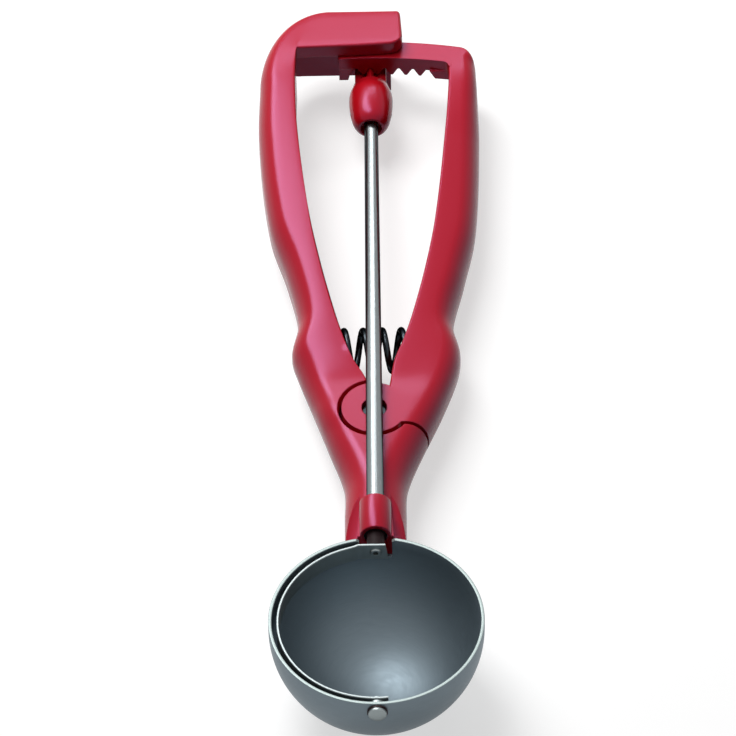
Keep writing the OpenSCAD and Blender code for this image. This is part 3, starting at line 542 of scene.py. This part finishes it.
def upper_lug():
    """The lug behind the cover that holds the rod's end."""
    r, right, bend_x, left, bend = 5.4 * MM, 5.6 * MM, 2.6 * MM, 0.6 * MM, 2 * MM
    depth = LUG_Y, LUG_Y + LUG_LEN
    outline = ([(right, AXIS_Z), (right, -FOOT_DROP), (bend_x, -FOOT_DROP)]
               + [(bend_x - bend * sin(a), bend - FOOT_DROP - bend * cos(a))
                  for a in steps(0, pi / 2, 6)] + [(left, AXIS_Z)])
    return [barrel("lug", [(y, r) for y in depth]), lengthwise("rib", outline, *depth)]


# ---------------- operators


class SCOOP_OT_fixed_handle(Operator):
    """Builds the fixed grip with its neck, rod guide and gear cover"""
    bl_idname = "scoop.fixed_handle"
    bl_label = "Fixed handle"

    def execute(self, context):
        h = context.scene.scoop_handle
        piece, gap_top = fixed_blank(h)
        wide = h.disc_r + h.seam
        split = SPLIT_Z - 0.2 * MM                 # the fixed hub stays clear of the lever's
        ceiling = COVER_TOP - 4.2 * MM             # of the room for the rack
        side_top, foot_x = ceiling - 2.6 * MM, 5.8 * MM
        side = block("side", (0, SEAM_C.y, -DEEP), (2 * DEEP, 4 * DEEP + SEAM_C.y, side_top))
        cut(side, disc("seam", -2 * DEEP, DEEP, SEAM_R, *SEAM_C))
        chamfer = loft("chamfer", [circle(Vector((0, PIVOT_Y, z)), X, Y, r, 96) for z, r in
                                   ((FACE_Z - 0.9 * MM, wide), (FACE_Z + MM, wide + MM))])
        cut(piece, *sloped_sides(),
            disc("hub", split, DEEP, wide), chamfer, side,
            block("cavity", (-gap_top - LAP, COVER_Y - 3 * MM, -DEEP), (DEEP, LUG_Y, ceiling)),
            block("beyond", (foot_x, COVER_Y, -DEEP), (DEEP, COVER_Y + DEEP, ceiling)))

        def by_neck(rows):
            return [(a * MM, NECK_END_Y + y * MM) for a, y in rows]
        guide = [(y, r) for r, y in by_neck([(3.9, 0), (4.05, 0.1), (4.15, 0.3), (4.15, 11.2), (3.8, 11.6)])]
        web = by_neck([(-4.8, 0), (4.8, 0), (4.1, 11.4), (-4.1, 11.4)])
        add_on(piece, disc("boss", BACK_Z, split + 0.01 * MM, h.disc_r),
               barrel("guide", guide), upright("web", web, -13.5 * MM, AXIS_Z), *upper_lug())
        bush_r, bush_len, end_bush_r, end_bush_len = 3.1 * MM, 13 * MM, 2.5 * MM, 4.6 * MM
        tang_half, tang_len, tang_z, screw_r = 5.5 * MM, 31 * MM, -15.4 * MM, 2.3 * MM
        screw_z = tang_z - 2.2 * MM
        cut(piece, spring_pocket(FIXED),
            barrel("bore", [(NECK_END_Y - CUT, bush_r), (NECK_END_Y + bush_len, bush_r)]),
            barrel("bore", [(LUG_Y - CUT, end_bush_r), (LUG_Y + end_bush_len, end_bush_r)]),
            disc("pivot", BACK_Z - CUT, 0, PIN_R),
            disc("recess", BACK_Z - CUT, BACK_Z + RECESS_DEPTH, RECESS_R),
            block("tang", (-tang_half, NECK_END_Y - CUT, screw_z),
                  (tang_half, NECK_END_Y + tang_len, tang_z)),
            *[disc("screw", BACK_Z - CUT, screw_z, screw_r, 0, NECK_END_Y + y, HOLE_SIDES)
              for y in (10 * MM, 22 * MM)],
            *hollow(h, False), *lid_holes(h, False, 0))
        dress(piece, "moulded_red_plastic", "frame", "red_plastic", "fixed_handle")
        return {"FINISHED"}


class SCOOP_OT_lever_handle(Operator):
    """Builds the lever grip with its hub disc and rack"""
    bl_idname = "scoop.lever_handle"
    bl_label = "Lever handle"

    def execute(self, context):
        h = context.scene.scoop_handle
        below_pivot, end_r, edge = 12 * MM, 3.5 * MM, 0.6 * MM
        rings = [grip_section(h, t, True).ring(LEVER) for t in steps(-below_pivot, BELLY, h.rings)]
        last = grip_section(h, RACK_OUT, True)

        def on_arc(x, t):
            return x, PIVOT_Y + mix(t, sqrt(t * t - x * x), min(1, (t - BELLY) / (RACK_IN - BELLY)))
        for t in steps(BELLY, RACK_OUT - end_r, 16)[1:]:
            s = grip_section(h, t, True)
            s.outer, s.inner = Vector(on_arc(s.outer.x, t)), Vector(on_arc(s.inner.x, t))
            rings.append(s.ring(LEVER))
        for a in steps(0, radians(84), 8)[1:]:
            t = RACK_OUT - end_r + end_r * sin(a)
            x = last.outer.x - end_r * (1 - cos(a))
            high, belly = mix(last.shoulder[0], edge, sin(a)), mix(last.belly, 2 * edge, sin(a))
            s = Section(on_arc(x, t), on_arc(last.inner.x, t), last.top, last.low,
                        (high, high), (edge, edge), belly, edge, 0, 1)
            rings.append(s.ring(LEVER))
        piece = loft("lever_grip", rings)
        cut(piece, disc("hub", -DEEP, SPLIT_Z, h.disc_r + h.seam),
            disc("seam", -DEEP, DEEP, SEAM_R + h.seam, *SEAM_C))
        add_on(piece, disc("boss", SPLIT_Z, FACE_Z, h.disc_r), *rack_parts(h))
        cut(piece, spring_pocket(LEVER),
            disc("recess", FACE_Z - RECESS_DEPTH, FACE_Z + CUT, RECESS_R),
            disc("bore", SPLIT_Z - CUT, FACE_Z - RECESS_DEPTH + CUT, PIN_R + BUSH_WALL),
            *hollow(h, True), *lid_holes(h, True, 0))
        dress(piece, "moulded_red_plastic", "lever", "red_plastic", "lever_handle")
        return {"FINISHED"}


TEETH, PITCH_R, PRESSURE = 6, 3.85 * MM, radians(32)
PITCH = 2 * pi * PITCH_R / TEETH
PITCH_Z = AXIS_Z + PITCH_R
TIP_DROP = 1.05 * MM      # how far the rack's teeth pass the pitch line
RACK_TIP, RACK_ROOT = PITCH_Z - TIP_DROP, PITCH_Z + 1.35 * MM
BACKLASH = 0.3 * MM


def rack_parts(h):
    """Bar on an arc about the pivot, its teeth, end block and stop, and the inner corner."""
    flank = tan(PRESSURE)
    tooth = (PITCH - BACKLASH / 2) / 4
    tip, root = tooth - TIP_DROP * flank, tooth + (RACK_ROOT - PITCH_Z) * flank
    inner_x = smooth(gap_rows(h, True), RACK_IN)
    bar_end = inner_x + 2 * MM
    left, sink = -8.7 * MM, 0.2 * MM
    spots = steps(asin(left / RACK_IN), asin(bar_end / RACK_IN), 40)

    def arc(r):
        return [Vector((r * sin(a), PIVOT_Y + r * cos(a))) for a in spots]

    parts = [upright("bar", arc(RACK_IN) + arc(RACK_OUT)[::-1], RACK_ROOT, h.lever_top)]
    near, far = COVER_Y, COVER_Y + RACK_W
    shape = [(-root, RACK_ROOT + sink), (-tip, RACK_TIP), (tip, RACK_TIP), (root, RACK_ROOT + sink)]
    step = PITCH / (RACK_IN + RACK_W / 2)
    to_pivot, back = Matrix.Translation(Y * PIVOT_Y), Matrix.Translation(-Y * PIVOT_Y)
    for k in range(-1, 4):
        turn = to_pivot @ Matrix.Rotation(-(k + 0.5) * step, 4, "Z") @ back
        parts.append(loft("tooth", [[turn @ Vector((x, y, z)) for x, z in shape] for y in (near, far)]))
    foot, start = -2.3 * MM, -1.5 * PITCH
    outline = [(left, RACK_ROOT + sink), (left, foot), (start + tip - CUT, foot), (start + tip, RACK_TIP),
               (start + root, RACK_ROOT + sink)]
    parts.append(lengthwise("end_block", outline, near, far))
    stop, lower, ahead = 18.2 * MM, 0.8 * MM, 2 * MM
    outline = [(stop - root, RACK_ROOT + CUT), (stop - tip, RACK_TIP), (bar_end, RACK_TIP - lower),
               (bar_end, RACK_ROOT + CUT)]
    parts.append(lengthwise("stop", outline, near - ahead, near - ahead + RACK_W))
    inner_r, lap = 1.8 * MM, 0.8 * MM
    reach = RACK_IN - inner_r
    tilt = asin((inner_x - inner_r) / reach)
    corner = Vector((reach * sin(tilt), PIVOT_Y + reach * cos(tilt)))
    outline = [corner + inner_r * Vector((sin(a), cos(a))) for a in steps(tilt, pi / 2, 8)]
    outline += [Vector((inner_x + lap, corner.y)), Vector((inner_x + lap, corner.y + inner_r + lap)),
                outline[0] + lap * Vector((sin(tilt), cos(tilt)))]
    parts.append(upright("corner", outline, RACK_ROOT, h.lever_top))
    return parts


class SCOOP_OT_grip_covers(Operator):
    """Builds the two covers that close the backs of the grips"""
    bl_idname = "scoop.grip_covers"
    bl_label = "Grip covers"

    def execute(self, context):
        h = context.scene.scoop_handle
        for lever, node, body in ((False, "fixed_back_cover", "frame"), (True, "lever_back_cover", "lever")):
            side = LEVER if lever else FIXED
            start, end = LID_FROM + LID_GAP, LID_TO - LID_GAP
            piece = loft(node.replace("back_cover", "grip_cover"),
                         [grip_section(h, t, lever).ring(side) for t in steps(start, end, 40)])
            combine(piece, "INTERSECT", slab("seat", h, lever, start - MM, end + MM, LID_OVER, -LID_BELOW,
                                             LID_SIDE - LID_GAP))
            cut(piece, *lid_holes(h, lever, LID_GAP))
            dress(piece, "moulded_red_plastic", body, "red_plastic", node)
        return {"FINISHED"}


class SCOOP_OT_bowl(Operator):
    """Builds the spun bowl with its slot and rivet hole"""
    bl_idname = "scoop.bowl"
    bl_label = "Bowl"

    def execute(self, context):
        m = context.scene.scoop_metal
        lip = 0.2 * MM
        inner = BOWL_R - m.bowl_wall
        pole, quarter = radians(0.6), pi / 2

        def shell(r, start, end):
            return [(r * sin(a), AXIS_Z - r * cos(a)) for a in steps(start, end, 40)]
        rim = [(BOWL_R - lip + lip * cos(a), lip * sin(a) - lip) for a in steps(0, quarter, 4)]
        rim += [(inner + lip - lip * sin(a), lip * cos(a) - lip) for a in steps(0, quarter, 4)]
        profile = shell(BOWL_R, pole, quarter) + rim + shell(inner, quarter, pole)
        piece = loft("spun_bowl", [circle(Z * z, X, Y, r, 160) for r, z in profile])
        half, chamfer, depth = 4.3 * MM, 0.8 * MM, 6.4 * MM
        wide = half + chamfer
        outline = [(-half, -depth), (half, -depth), (half, -chamfer), (wide, 0), (wide, CUT), (-wide, CUT),
                   (-wide, 0), (-half, -chamfer)]
        cut(piece, lengthwise("slot", outline, 0, BOWL_R + CUT),
            barrel("hole", [(-BOWL_R - CUT, SHANK_R), (5 * MM - BOWL_R, SHANK_R)]))
        dress(piece, "spun_satin_aluminium", "frame", "bowl_metal", "bowl")
        rim_z, near = -0.3 * MM, 0.1 * MM
        # Painted highlight: the rim's up-facing faces get a lighter metal, a thin light line where the rim
        # faces the lamps
        touch_up(piece, "rim_painted_highlight", lambda f: f.normal.z > 0.7 and f.center.z > rim_z)
        # Painted shade: the slot's floor gets the dark wire finish for the deep shade under the rod
        touch_up(piece, "dark_wire_and_painted_shade", lambda f: f.normal.z > 0.9 and abs(f.center.z + depth) < near)
        return {"FINISHED"}


class SCOOP_OT_scraper(Operator):
    """Builds the scraper band with its flat end plate"""
    bl_idname = "scoop.scraper"
    bl_label = "Scraper"

    def execute(self, context):
        m = context.scene.scoop_metal
        r = BOWL_R - m.bowl_wall - m.band_gap
        plate, bend = 4.9 * MM, 1.2 * MM
        end = asin(m.band_reach / r)
        path = []
        for a in steps(pi + end, 0, 72):
            x = -r * sin(a)
            round_point, flat_point = Vector((x, r * cos(a))), Vector((x, r))
            share = min(1, max(0, (x + plate + bend) / bend)) if a < pi / 2 else 0
            path.append(round_point.lerp(flat_point, share * share * (3 - 2 * share)))
        path.append(Vector((m.band_reach, r)))
        half, thick, edge, end_slant = m.band_w / 2, m.band_t, 0.15 * MM, 0.13
        corners = [(0, edge - half), (0, half - edge), (edge, half), (thick - edge, half),
                   (thick, half - edge), (thick, edge - half), (thick - edge, -half), (edge, -half)]
        rings = []
        for k, p in enumerate(path):
            along = (path[min(k + 1, len(path) - 1)] - path[max(k - 1, 0)]).normalized()
            inward = Vector((along.y, -along.x))
            if inward.dot(-p) < 0:
                inward = -inward
            slant = end_slant if k == len(path) - 1 else 0
            rings.append([Vector((p.x + inward.x * q - slant * z, p.y + inward.y * q, AXIS_Z + z))
                          for q, z in corners])
        piece = loft("scraper_band", rings)
        loose_r, reach = 1.55 * MM, 6 * MM      # the band turns on the rivet and is fixed to the rod
        cut(piece, barrel("hole", [(-BOWL_R, loose_r), (reach - BOWL_R, loose_r)]),
            barrel("hole", [(BOWL_R - reach, JOURNAL_R), (BOWL_R, JOURNAL_R)]))
        dress(piece, "plated_steel", "drive", "bowl_metal", "scraper")
        return {"FINISHED"}


class SCOOP_OT_rod(Operator):
    """Builds the drive rod from the scraper to the upper bush"""
    bl_idname = "scoop.rod"
    bl_label = "Drive rod"

    def execute(self, context):
        m = context.scene.scoop_metal
        band_y = BOWL_R - m.bowl_wall - m.band_gap
        low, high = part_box("drive_rod")
        collar_y, taper_y = NECK_END_Y + MM, NECK_END_Y + 14.5 * MM
        edge = 0.25 * MM
        profile = [(low.y, 0.4 * JOURNAL_R), (low.y, JOURNAL_R - edge), (low.y + edge, JOURNAL_R),
                   (band_y, JOURNAL_R), (band_y, ROD_R - edge), (band_y + edge, ROD_R), (collar_y, ROD_R),
                   (taper_y, ROD_R), (PINION_LOW.y, m.rod_top_r), (ROD_STEP_Y, m.rod_top_r),
                   (ROD_STEP_Y, JOURNAL_R), (high.y - edge, JOURNAL_R), (high.y, JOURNAL_R - edge),
                   (high.y, 0.1 * MM)]
        piece = barrel("drive_shaft", profile, count=72)
        cut(piece, barrel("dimple", [(low.y - CUT, 0.75 * MM), (low.y + 1.6 * MM, 0.5 * MM)], count=32),
            cross_hole(6 * MM))
        dress(piece, "drawn_bright_steel", "drive", "steel", "drive_rod")
        # Painted shade: the rod between the band and the guide gets the dark acetal for the shade under the
        # guide
        touch_up(piece, "dark_acetal_and_painted_shade", lambda f: band_y < f.center.y < collar_y)
        touch_up(piece, "plated_steel", lambda f: f.center.y < band_y)
        return {"FINISHED"}


def cross_hole(reach, r=0.7 * MM):
    """The hole of the pin that locks the pinion to the rod."""
    y = PINION_LOW.y + 4.5 * MM
    return loft("cross", [circle(Vector((x, y, AXIS_Z)), Y, Z, r, 32) for x in (-reach, reach)])


class SCOOP_OT_pinion(Operator):
    """Builds the barrel with the pinion's teeth"""
    bl_idname = "scoop.pinion"
    bl_label = "Pinion"

    def execute(self, context):
        barrel_r, tip, root = 6.05 * MM, 4.95 * MM, 2.55 * MM
        shape = [(0, 0.2), (0, 3.55), (0.2, 3.8), (0.8, 4.4), (1.6, 4.85), (2.6, 5.2), (4, 5.5), (5.5, 5.75),
                 (7, 5.92), (8.5, 6.02), (10, 6.05), (11.2, 6), (12.2, 5.86), (13.2, 5.6), (14.1, 5.25),
                 (14.9, 4.95), (24.3, 4.95), (24.5, 4.75), (24.5, 0.2)]
        piece = barrel("pinion_barrel", [(PINION_LOW.y + y * MM, r * MM) for y, r in shape], count=96)
        base = PITCH_R * cos(PRESSURE)

        def inv(a):
            return tan(a) - a

        def flank(r):
            return (pi / 2 / TEETH - BACKLASH / 4 / PITCH_R + inv(PRESSURE)
                    - inv(acos(min(1, base / r))))
        sector = 2 * pi / TEETH
        radii = [root] + steps(base, tip, 6)
        far = barrel_r + MM
        polar = [(r, flank(r)) for r in radii]
        polar += [(far, flank(tip)), (1.2 * far, sector / 2), (far, sector - flank(tip))]
        polar += [(r, sector - flank(r)) for r in radii[::-1]]
        gap_y, end_y = PINION_HIGH.y - 9.3 * MM, PINION_HIGH.y + CUT
        for k in range(TEETH):
            turned = [(r, a + pi / 2 + sector * k) for r, a in polar]
            outline = [(r * cos(a), AXIS_Z - r * sin(a)) for r, a in turned]
            cut(piece, lengthwise("tooth_gap", outline, gap_y, end_y))
        start_y, bore_r = PINION_LOW.y - CUT, 1.9 * MM
        cut(piece, barrel("bore", [(start_y, bore_r), (ROD_STEP_Y, bore_r)]),
            barrel("mouth", [(start_y, 3.1 * MM), (PINION_LOW.y + 2.2 * MM, 2.6 * MM)]),
            barrel("bore", [(PINION_LOW.y + 7.9 * MM, JOURNAL_R), (end_y, JOURNAL_R)]), cross_hole(7 * MM))
        dress(piece, "glossy_red_plastic", "drive", "red_plastic", "pinion")
        return {"FINISHED"}


class SCOOP_OT_spring(Operator):
    """Winds the return spring between the grips"""
    bl_idname = "scoop.spring"
    bl_label = "Return spring"

    def execute(self, context):
        m = context.scene.scoop_metal
        half = (SPRING_HIGH.x - SPRING_LOW.x) / 2 - m.wire_r
        coil = COIL_R - m.wire_r
        start, per_turn = radians(-155), 40
        rings = []
        for share in steps(0, 1, round(per_turn * m.turns)):
            turn = start + 2 * pi * m.turns * share
            out = Vector((0, cos(turn), sin(turn)))
            centre = Vector((mix(-half, half, share), SPRING_Y, SPRING_Z)) + coil * out
            rings.append(circle(centre, out, X, m.wire_r, 16))
        piece = loft("coil_spring", rings)
        dress(piece, "dark_wire_and_painted_shade", "frame", "spring_steel", "return_spring")
        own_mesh(piece)
        return {"FINISHED"}


class SCOOP_OT_tip_rivet(Operator):
    """Builds the domed rivet at the bowl's tip"""
    bl_idname = "scoop.tip_rivet"
    bl_label = "Tip rivet"

    def execute(self, context):
        low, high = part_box("tip_rivet")
        head, height, domed = 2.4 * MM, 1.25 * MM, 0.55
        tail, tail_r, edge = 0.6 * MM, 2 * MM, 0.2 * MM
        dome = [(low.y + height * (1 - cos(a)) * domed, head * sin(a)) for a in
                steps(radians(2), pi / 2, 8)]
        profile = dome + [(low.y + height, head), (low.y + height, SHANK_R), (high.y - tail, SHANK_R),
                          (high.y - tail, tail_r), (high.y - edge, tail_r), (high.y, SHANK_R),
                          (high.y, 0.1 * MM)]
        piece = barrel("rivet", profile)
        dress(piece, "plated_steel", "frame", "steel", "tip_rivet")
        return {"FINISHED"}


# ---------------- finishes


def linear(value):
    """Linear colour of an sRGB hex value."""
    parts = [int(value[k:k + 2], 16) / 255 for k in (1, 3, 5)]
    return [c / 12.92 if c <= 0.04045 else ((c + 0.055) / 1.055) ** 2.4 for c in parts] + [1.0]


def add(tree, kind, inputs=None, **settings):
    """Adds a node with its settings, and fills its inputs with values or with links from other sockets."""
    node = tree.nodes.new(kind)
    for key, value in settings.items():
        setattr(node, key, value)
    for key, value in (inputs or {}).items():
        if isinstance(value, bpy.types.NodeSocket):
            tree.links.new(value, node.inputs[key])
        else:
            node.inputs[key].default_value = value
    return node


def new_finish(name):
    """The empty nodes of a new material."""
    material = bpy.data.materials.new(name)
    material.use_nodes = True
    material.node_tree.nodes.clear()
    return material.node_tree


GRAIN = 0.5 * MM      # real grain and drawing marks are ten times finer: drawn as coarse as they need to show
UNEVEN = 0.04         # how far the marks take the roughness up and down


def finish(name, stretch, rough, edge, detail, spread, strength, depth, settings):
    """A surface with fine marks, which vary its gloss and height, and with eased edges."""
    tree = new_finish(name)
    place = add(tree, "ShaderNodeTexCoord").outputs["Object"]
    lines = add(tree, "ShaderNodeMapping", {"Vector": place, "Scale": stretch})
    marks = add(tree, "ShaderNodeTexNoise", {
        "Vector": lines.outputs[0], "Scale": 1 / GRAIN, "Detail": detail})
    gloss = add(tree, "ShaderNodeMapRange", {
        "Value": marks.outputs["Fac"], "From Min": 0.5 - spread, "From Max": 0.5 + spread,
        "To Min": rough - UNEVEN, "To Max": rough + UNEVEN})
    rounded = add(tree, "ShaderNodeBevel", {"Radius": edge}, samples=4)
    bump = add(tree, "ShaderNodeBump", {"Height": marks.outputs["Fac"], "Strength": strength,
                                        "Distance": depth, "Normal": rounded.outputs[0]})
    shader = add(tree, "ShaderNodeBsdfPrincipled", {
        "Roughness": gloss.outputs[0], "Normal": bump.outputs[0], **settings})
    add(tree, "ShaderNodeOutputMaterial", {"Surface": shader.outputs[0]})


def moulded(name, colour, rough, level, edge, sheen=(1, 1, 1, 1)):
    """Moulded plastic with a fine spark-eroded grain: a soft, broad sheen with a slightly uneven gloss."""
    finish(name, (1, 1, 1), rough, edge, 3.0, 0.5, 0.05, 0.02 * MM, {
        "Base Color": linear(colour), "IOR": 1.5, "Specular IOR Level": level, "Specular Tint": sheen})


def metal(name, colour, rough, edge, stretch=(1, 1, 1), rim=1.0, pure=1.0):
    """Metal with fine marks along the way it was worked."""
    finish(name, stretch, rough, edge, 4.0, 0.2, 0.25, 0.004 * MM, {
        "Base Color": linear(colour), "Metallic": pure, "Specular Tint": (rim, rim, rim, 1)})


class SCOOP_OT_finishes(Operator):
    """Makes the finishes and dresses the pieces that stay as the frame has them"""
    bl_idname = "scoop.finishes"
    bl_label = "Finishes"

    def execute(self, context):
        c = context.scene.scoop_colours
        pink = (0.88, 0.5, 1.0, 1)
        # ABS from a grained mould: a broad sheen, pink where it catches the light
        moulded("moulded_red_plastic", c.red, 0.25, 0.36, 0.4 * MM, pink)
        # The same ABS on a small barrel: the sheen gathers to one bright streak
        moulded("glossy_red_plastic", c.pinion, 0.25, 0.36, 0.25 * MM, pink)
        # Turned acetal, oiled: nearly black, without a highlight. It is also painted shade: the bush at the
        # guide's mouth and the rod below the guide are dark for the shade there
        moulded("dark_acetal_and_painted_shade", c.bush, 0.6, 0.12, 0.15 * MM)
        # Moulded nylon: dark brown and dull
        moulded("dark_nylon", c.dark, 0.5, 0.3, 0.1 * MM)
        # Spun aluminium, satin anodised: faint rings about the bowl's axis and a wide soft highlight
        metal("spun_satin_aluminium", c.bowl, 0.52, 0.15 * MM, stretch=(0.15, 0.15, 2), pure=0.95)
        # The same metal, lighter, on the rim's up-facing faces: a painted highlight, a thin light line round
        # the rim
        metal("rim_painted_highlight", c.edge, 0.5, 0.1 * MM)
        # Cold drawn steel: lines along the rod stretch its highlight
        metal("drawn_bright_steel", c.steel, 0.25, 0.1 * MM, stretch=(2, 0.05, 2), rim=0.1)
        # Nickel plated steel: even and half bright
        metal("plated_steel", c.satin, 0.42, 0.1 * MM, rim=0.4)
        # Oil tempered wire: nearly black with thin highlights. The same finish is painted shade on the pivot
        # pin in its recess and on the bowl's slot floor
        metal("dark_wire_and_painted_shade", c.wire, 0.25, 0.05 * MM, rim=0.0)
        # The guide's bush is dark partly as painted shade at the guide's mouth
        plain = {"dark_acetal_and_painted_shade": ("lower_guide_bush", "rod_end_bush"),
                 "dark_nylon": ("tip_washer",),
                 # painted shade: the pivot pin is blackened for the shade in its recess
                 "dark_wire_and_painted_shade": ("pivot_pin",),
                 "plated_steel": ("bowl_tang", "tang_screws", "tip_spacer", "pivot_washer", "pivot_clip",
                                  "fixed_cover_screws", "lever_cover_screws", "pivot_bush",
                                  "pinion_cross_pin")}
        for finish, nodes in plain.items():
            for node in nodes:
                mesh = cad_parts[node].data
                mesh.materials.clear()
                mesh.materials.append(bpy.data.materials[finish])
        return {"FINISHED"}


def seen_by(tree, *rays):
    """1 for light rays of these kinds and 0 for all others."""
    path = add(tree, "ShaderNodeLightPath")
    seen = path.outputs[rays[0]]
    for ray in rays[1:]:
        seen = add(tree, "ShaderNodeMath", {0: seen, 1: path.outputs[ray]}, operation="ADD",
                   use_clamp=True).outputs[0]
    return seen


class SCOOP_OT_studio(Operator):
    """Sets the camera, the lights and the floor"""
    bl_idname = "scoop.studio"
    bl_label = "Studio"

    def execute(self, context):
        s = context.scene.scoop_studio
        scene = context.scene
        scene.view_settings.view_transform = "Standard"
        target = Vector((-1.51, 87.03, 0)) * MM      # near the middle of the scoop
        back = Vector((sin(s.azimuth) * cos(s.elevation),
                       -cos(s.azimuth) * cos(s.elevation), sin(s.elevation)))
        right = (-back).cross(Z).normalized()
        up = right.cross(-back)
        c, n = cos(s.roll), sin(s.roll)
        right, up = c * right + n * up, c * up - n * right
        turn = Matrix((right, up, back)).transposed().to_4x4()
        bpy.ops.object.select_all(action="DESELECT")
        bpy.ops.object.camera_add()
        camera = context.object
        camera.name = "camera"
        camera.matrix_world = Matrix.Translation(target + back * s.distance) @ turn
        camera.data.lens, camera.data.sensor_width = s.lens, 36
        camera.data.clip_start, camera.data.clip_end = 0.1, 10
        scene.camera = camera
        self.light("key", target, Vector((-0.3, 0.32, 0.88)), (0.38, 0.65), s.key_power)
        self.light("strip", target, Vector((-0.18, 0.665, 0.71)), (1, 0.12), s.strip_power)
        self.floor()
        self.world(scene, s.ambient)
        return {"FINISHED"}

    def light(self, name, target, direction, size, power, far=0.9):
        """A rectangular lamp that faces the target."""
        bpy.ops.object.light_add(type="AREA", location=target + direction.normalized() * far)
        lamp = bpy.context.object
        lamp.name = name
        lamp.rotation_euler = direction.to_track_quat("Z", "Y").to_euler()
        lamp.data.shape, lamp.data.energy = "RECTANGLE", power
        lamp.data.size, lamp.data.size_y = size

    def floor(self):
        """A plane that touches the bowl and the lug's foot: white where seen, grey as a source of light."""
        foot = Vector((0, LUG_Y + LUG_LEN, -FOOT_DROP))
        reach = foot - Vector((0, 0, AXIS_Z))
        tilt = atan2(reach.z, reach.y) + asin(BOWL_R / reach.length)
        bpy.ops.mesh.primitive_plane_add(size=3)
        floor = bpy.context.object
        floor.name = "floor"
        touch = Vector((0, sin(tilt), -cos(tilt))) * BOWL_R + Z * AXIS_Z
        gap = 0.1 * MM
        floor.data.transform(Matrix.Translation(touch - Z * gap) @ Matrix.Rotation(tilt, 4, "X"))
        tree = new_finish("pale_floor")
        seen_white, cast_grey, glow = 0.45, 0.12, 0.62
        white = add(tree, "ShaderNodeBsdfDiffuse", {"Color": [seen_white] * 3 + [1]})
        grey = add(tree, "ShaderNodeBsdfDiffuse", {"Color": [cast_grey] * 3 + [1]})
        light = add(tree, "ShaderNodeEmission", {"Color": [1, 1, 1, 1], "Strength": glow})
        lit = add(tree, "ShaderNodeAddShader", {0: white.outputs[0], 1: light.outputs[0]})
        both = add(tree, "ShaderNodeMixShader", {0: seen_by(tree, "Is Camera Ray", "Is Glossy Ray"),
                                                 1: grey.outputs[0], 2: lit.outputs[0]})
        add(tree, "ShaderNodeOutputMaterial", {"Surface": both.outputs[0]})
        floor.data.materials.append(bpy.data.materials["pale_floor"])

    def world(self, scene, ambient):
        """White where it is seen, directly or in gloss, and weak as a source of light."""
        scene.world = bpy.data.worlds.new("studio")
        scene.world.use_nodes = True
        tree = scene.world.node_tree
        tree.nodes.clear()
        seen = seen_by(tree, "Is Camera Ray", "Is Glossy Ray", "Is Transmission Ray")
        strength = add(tree, "ShaderNodeMapRange", {"Value": seen, "To Min": ambient, "To Max": 1.0})
        sky = add(tree, "ShaderNodeBackground", {"Color": [1, 1, 1, 1], "Strength": strength.outputs[0]})
        add(tree, "ShaderNodeOutputWorld", {"Surface": sky.outputs[0]})


class SCOOP_PT_panel(Panel):
    """Lists the building steps and their sizes"""
    bl_idname = "SCOOP_PT_panel"
    bl_label = "Ice cream scoop"
    bl_space_type = "VIEW_3D"
    bl_region_type = "UI"
    bl_category = "Scoop"

    def draw(self, context):
        for operator in OPERATORS:
            self.layout.operator(operator.bl_idname)
        for group in GROUPS:
            values = getattr(context.scene, group)
            box = self.layout.box()
            for key in values.bl_rna.properties.keys():
                if key not in ("rna_type", "name"):
                    box.prop(values, key)


GROUPS = {"scoop_handle": ScoopHandle, "scoop_metal": ScoopMetal, "scoop_colours": ScoopColours,
          "scoop_studio": ScoopStudio}
OPERATORS = (SCOOP_OT_studio, SCOOP_OT_finishes, SCOOP_OT_fixed_handle, SCOOP_OT_lever_handle,
             SCOOP_OT_grip_covers, SCOOP_OT_bowl, SCOOP_OT_scraper, SCOOP_OT_rod, SCOOP_OT_pinion,
             SCOOP_OT_spring, SCOOP_OT_tip_rivet)


def register():
    for kind in (*GROUPS.values(), *OPERATORS, SCOOP_PT_panel):
        bpy.utils.register_class(kind)
    for name, kind in GROUPS.items():
        setattr(bpy.types.Scene, name, PointerProperty(type=kind))


def unregister():
    for name in GROUPS:
        delattr(bpy.types.Scene, name)
    for kind in (SCOOP_PT_panel, *OPERATORS[::-1], *GROUPS.values()):
        bpy.utils.unregister_class(kind)


def main():
    register()
    for operator in OPERATORS:
        group, name = operator.bl_idname.split(".")
        getattr(getattr(bpy.ops, group), name)()


if __name__ == "__main__":
    main()
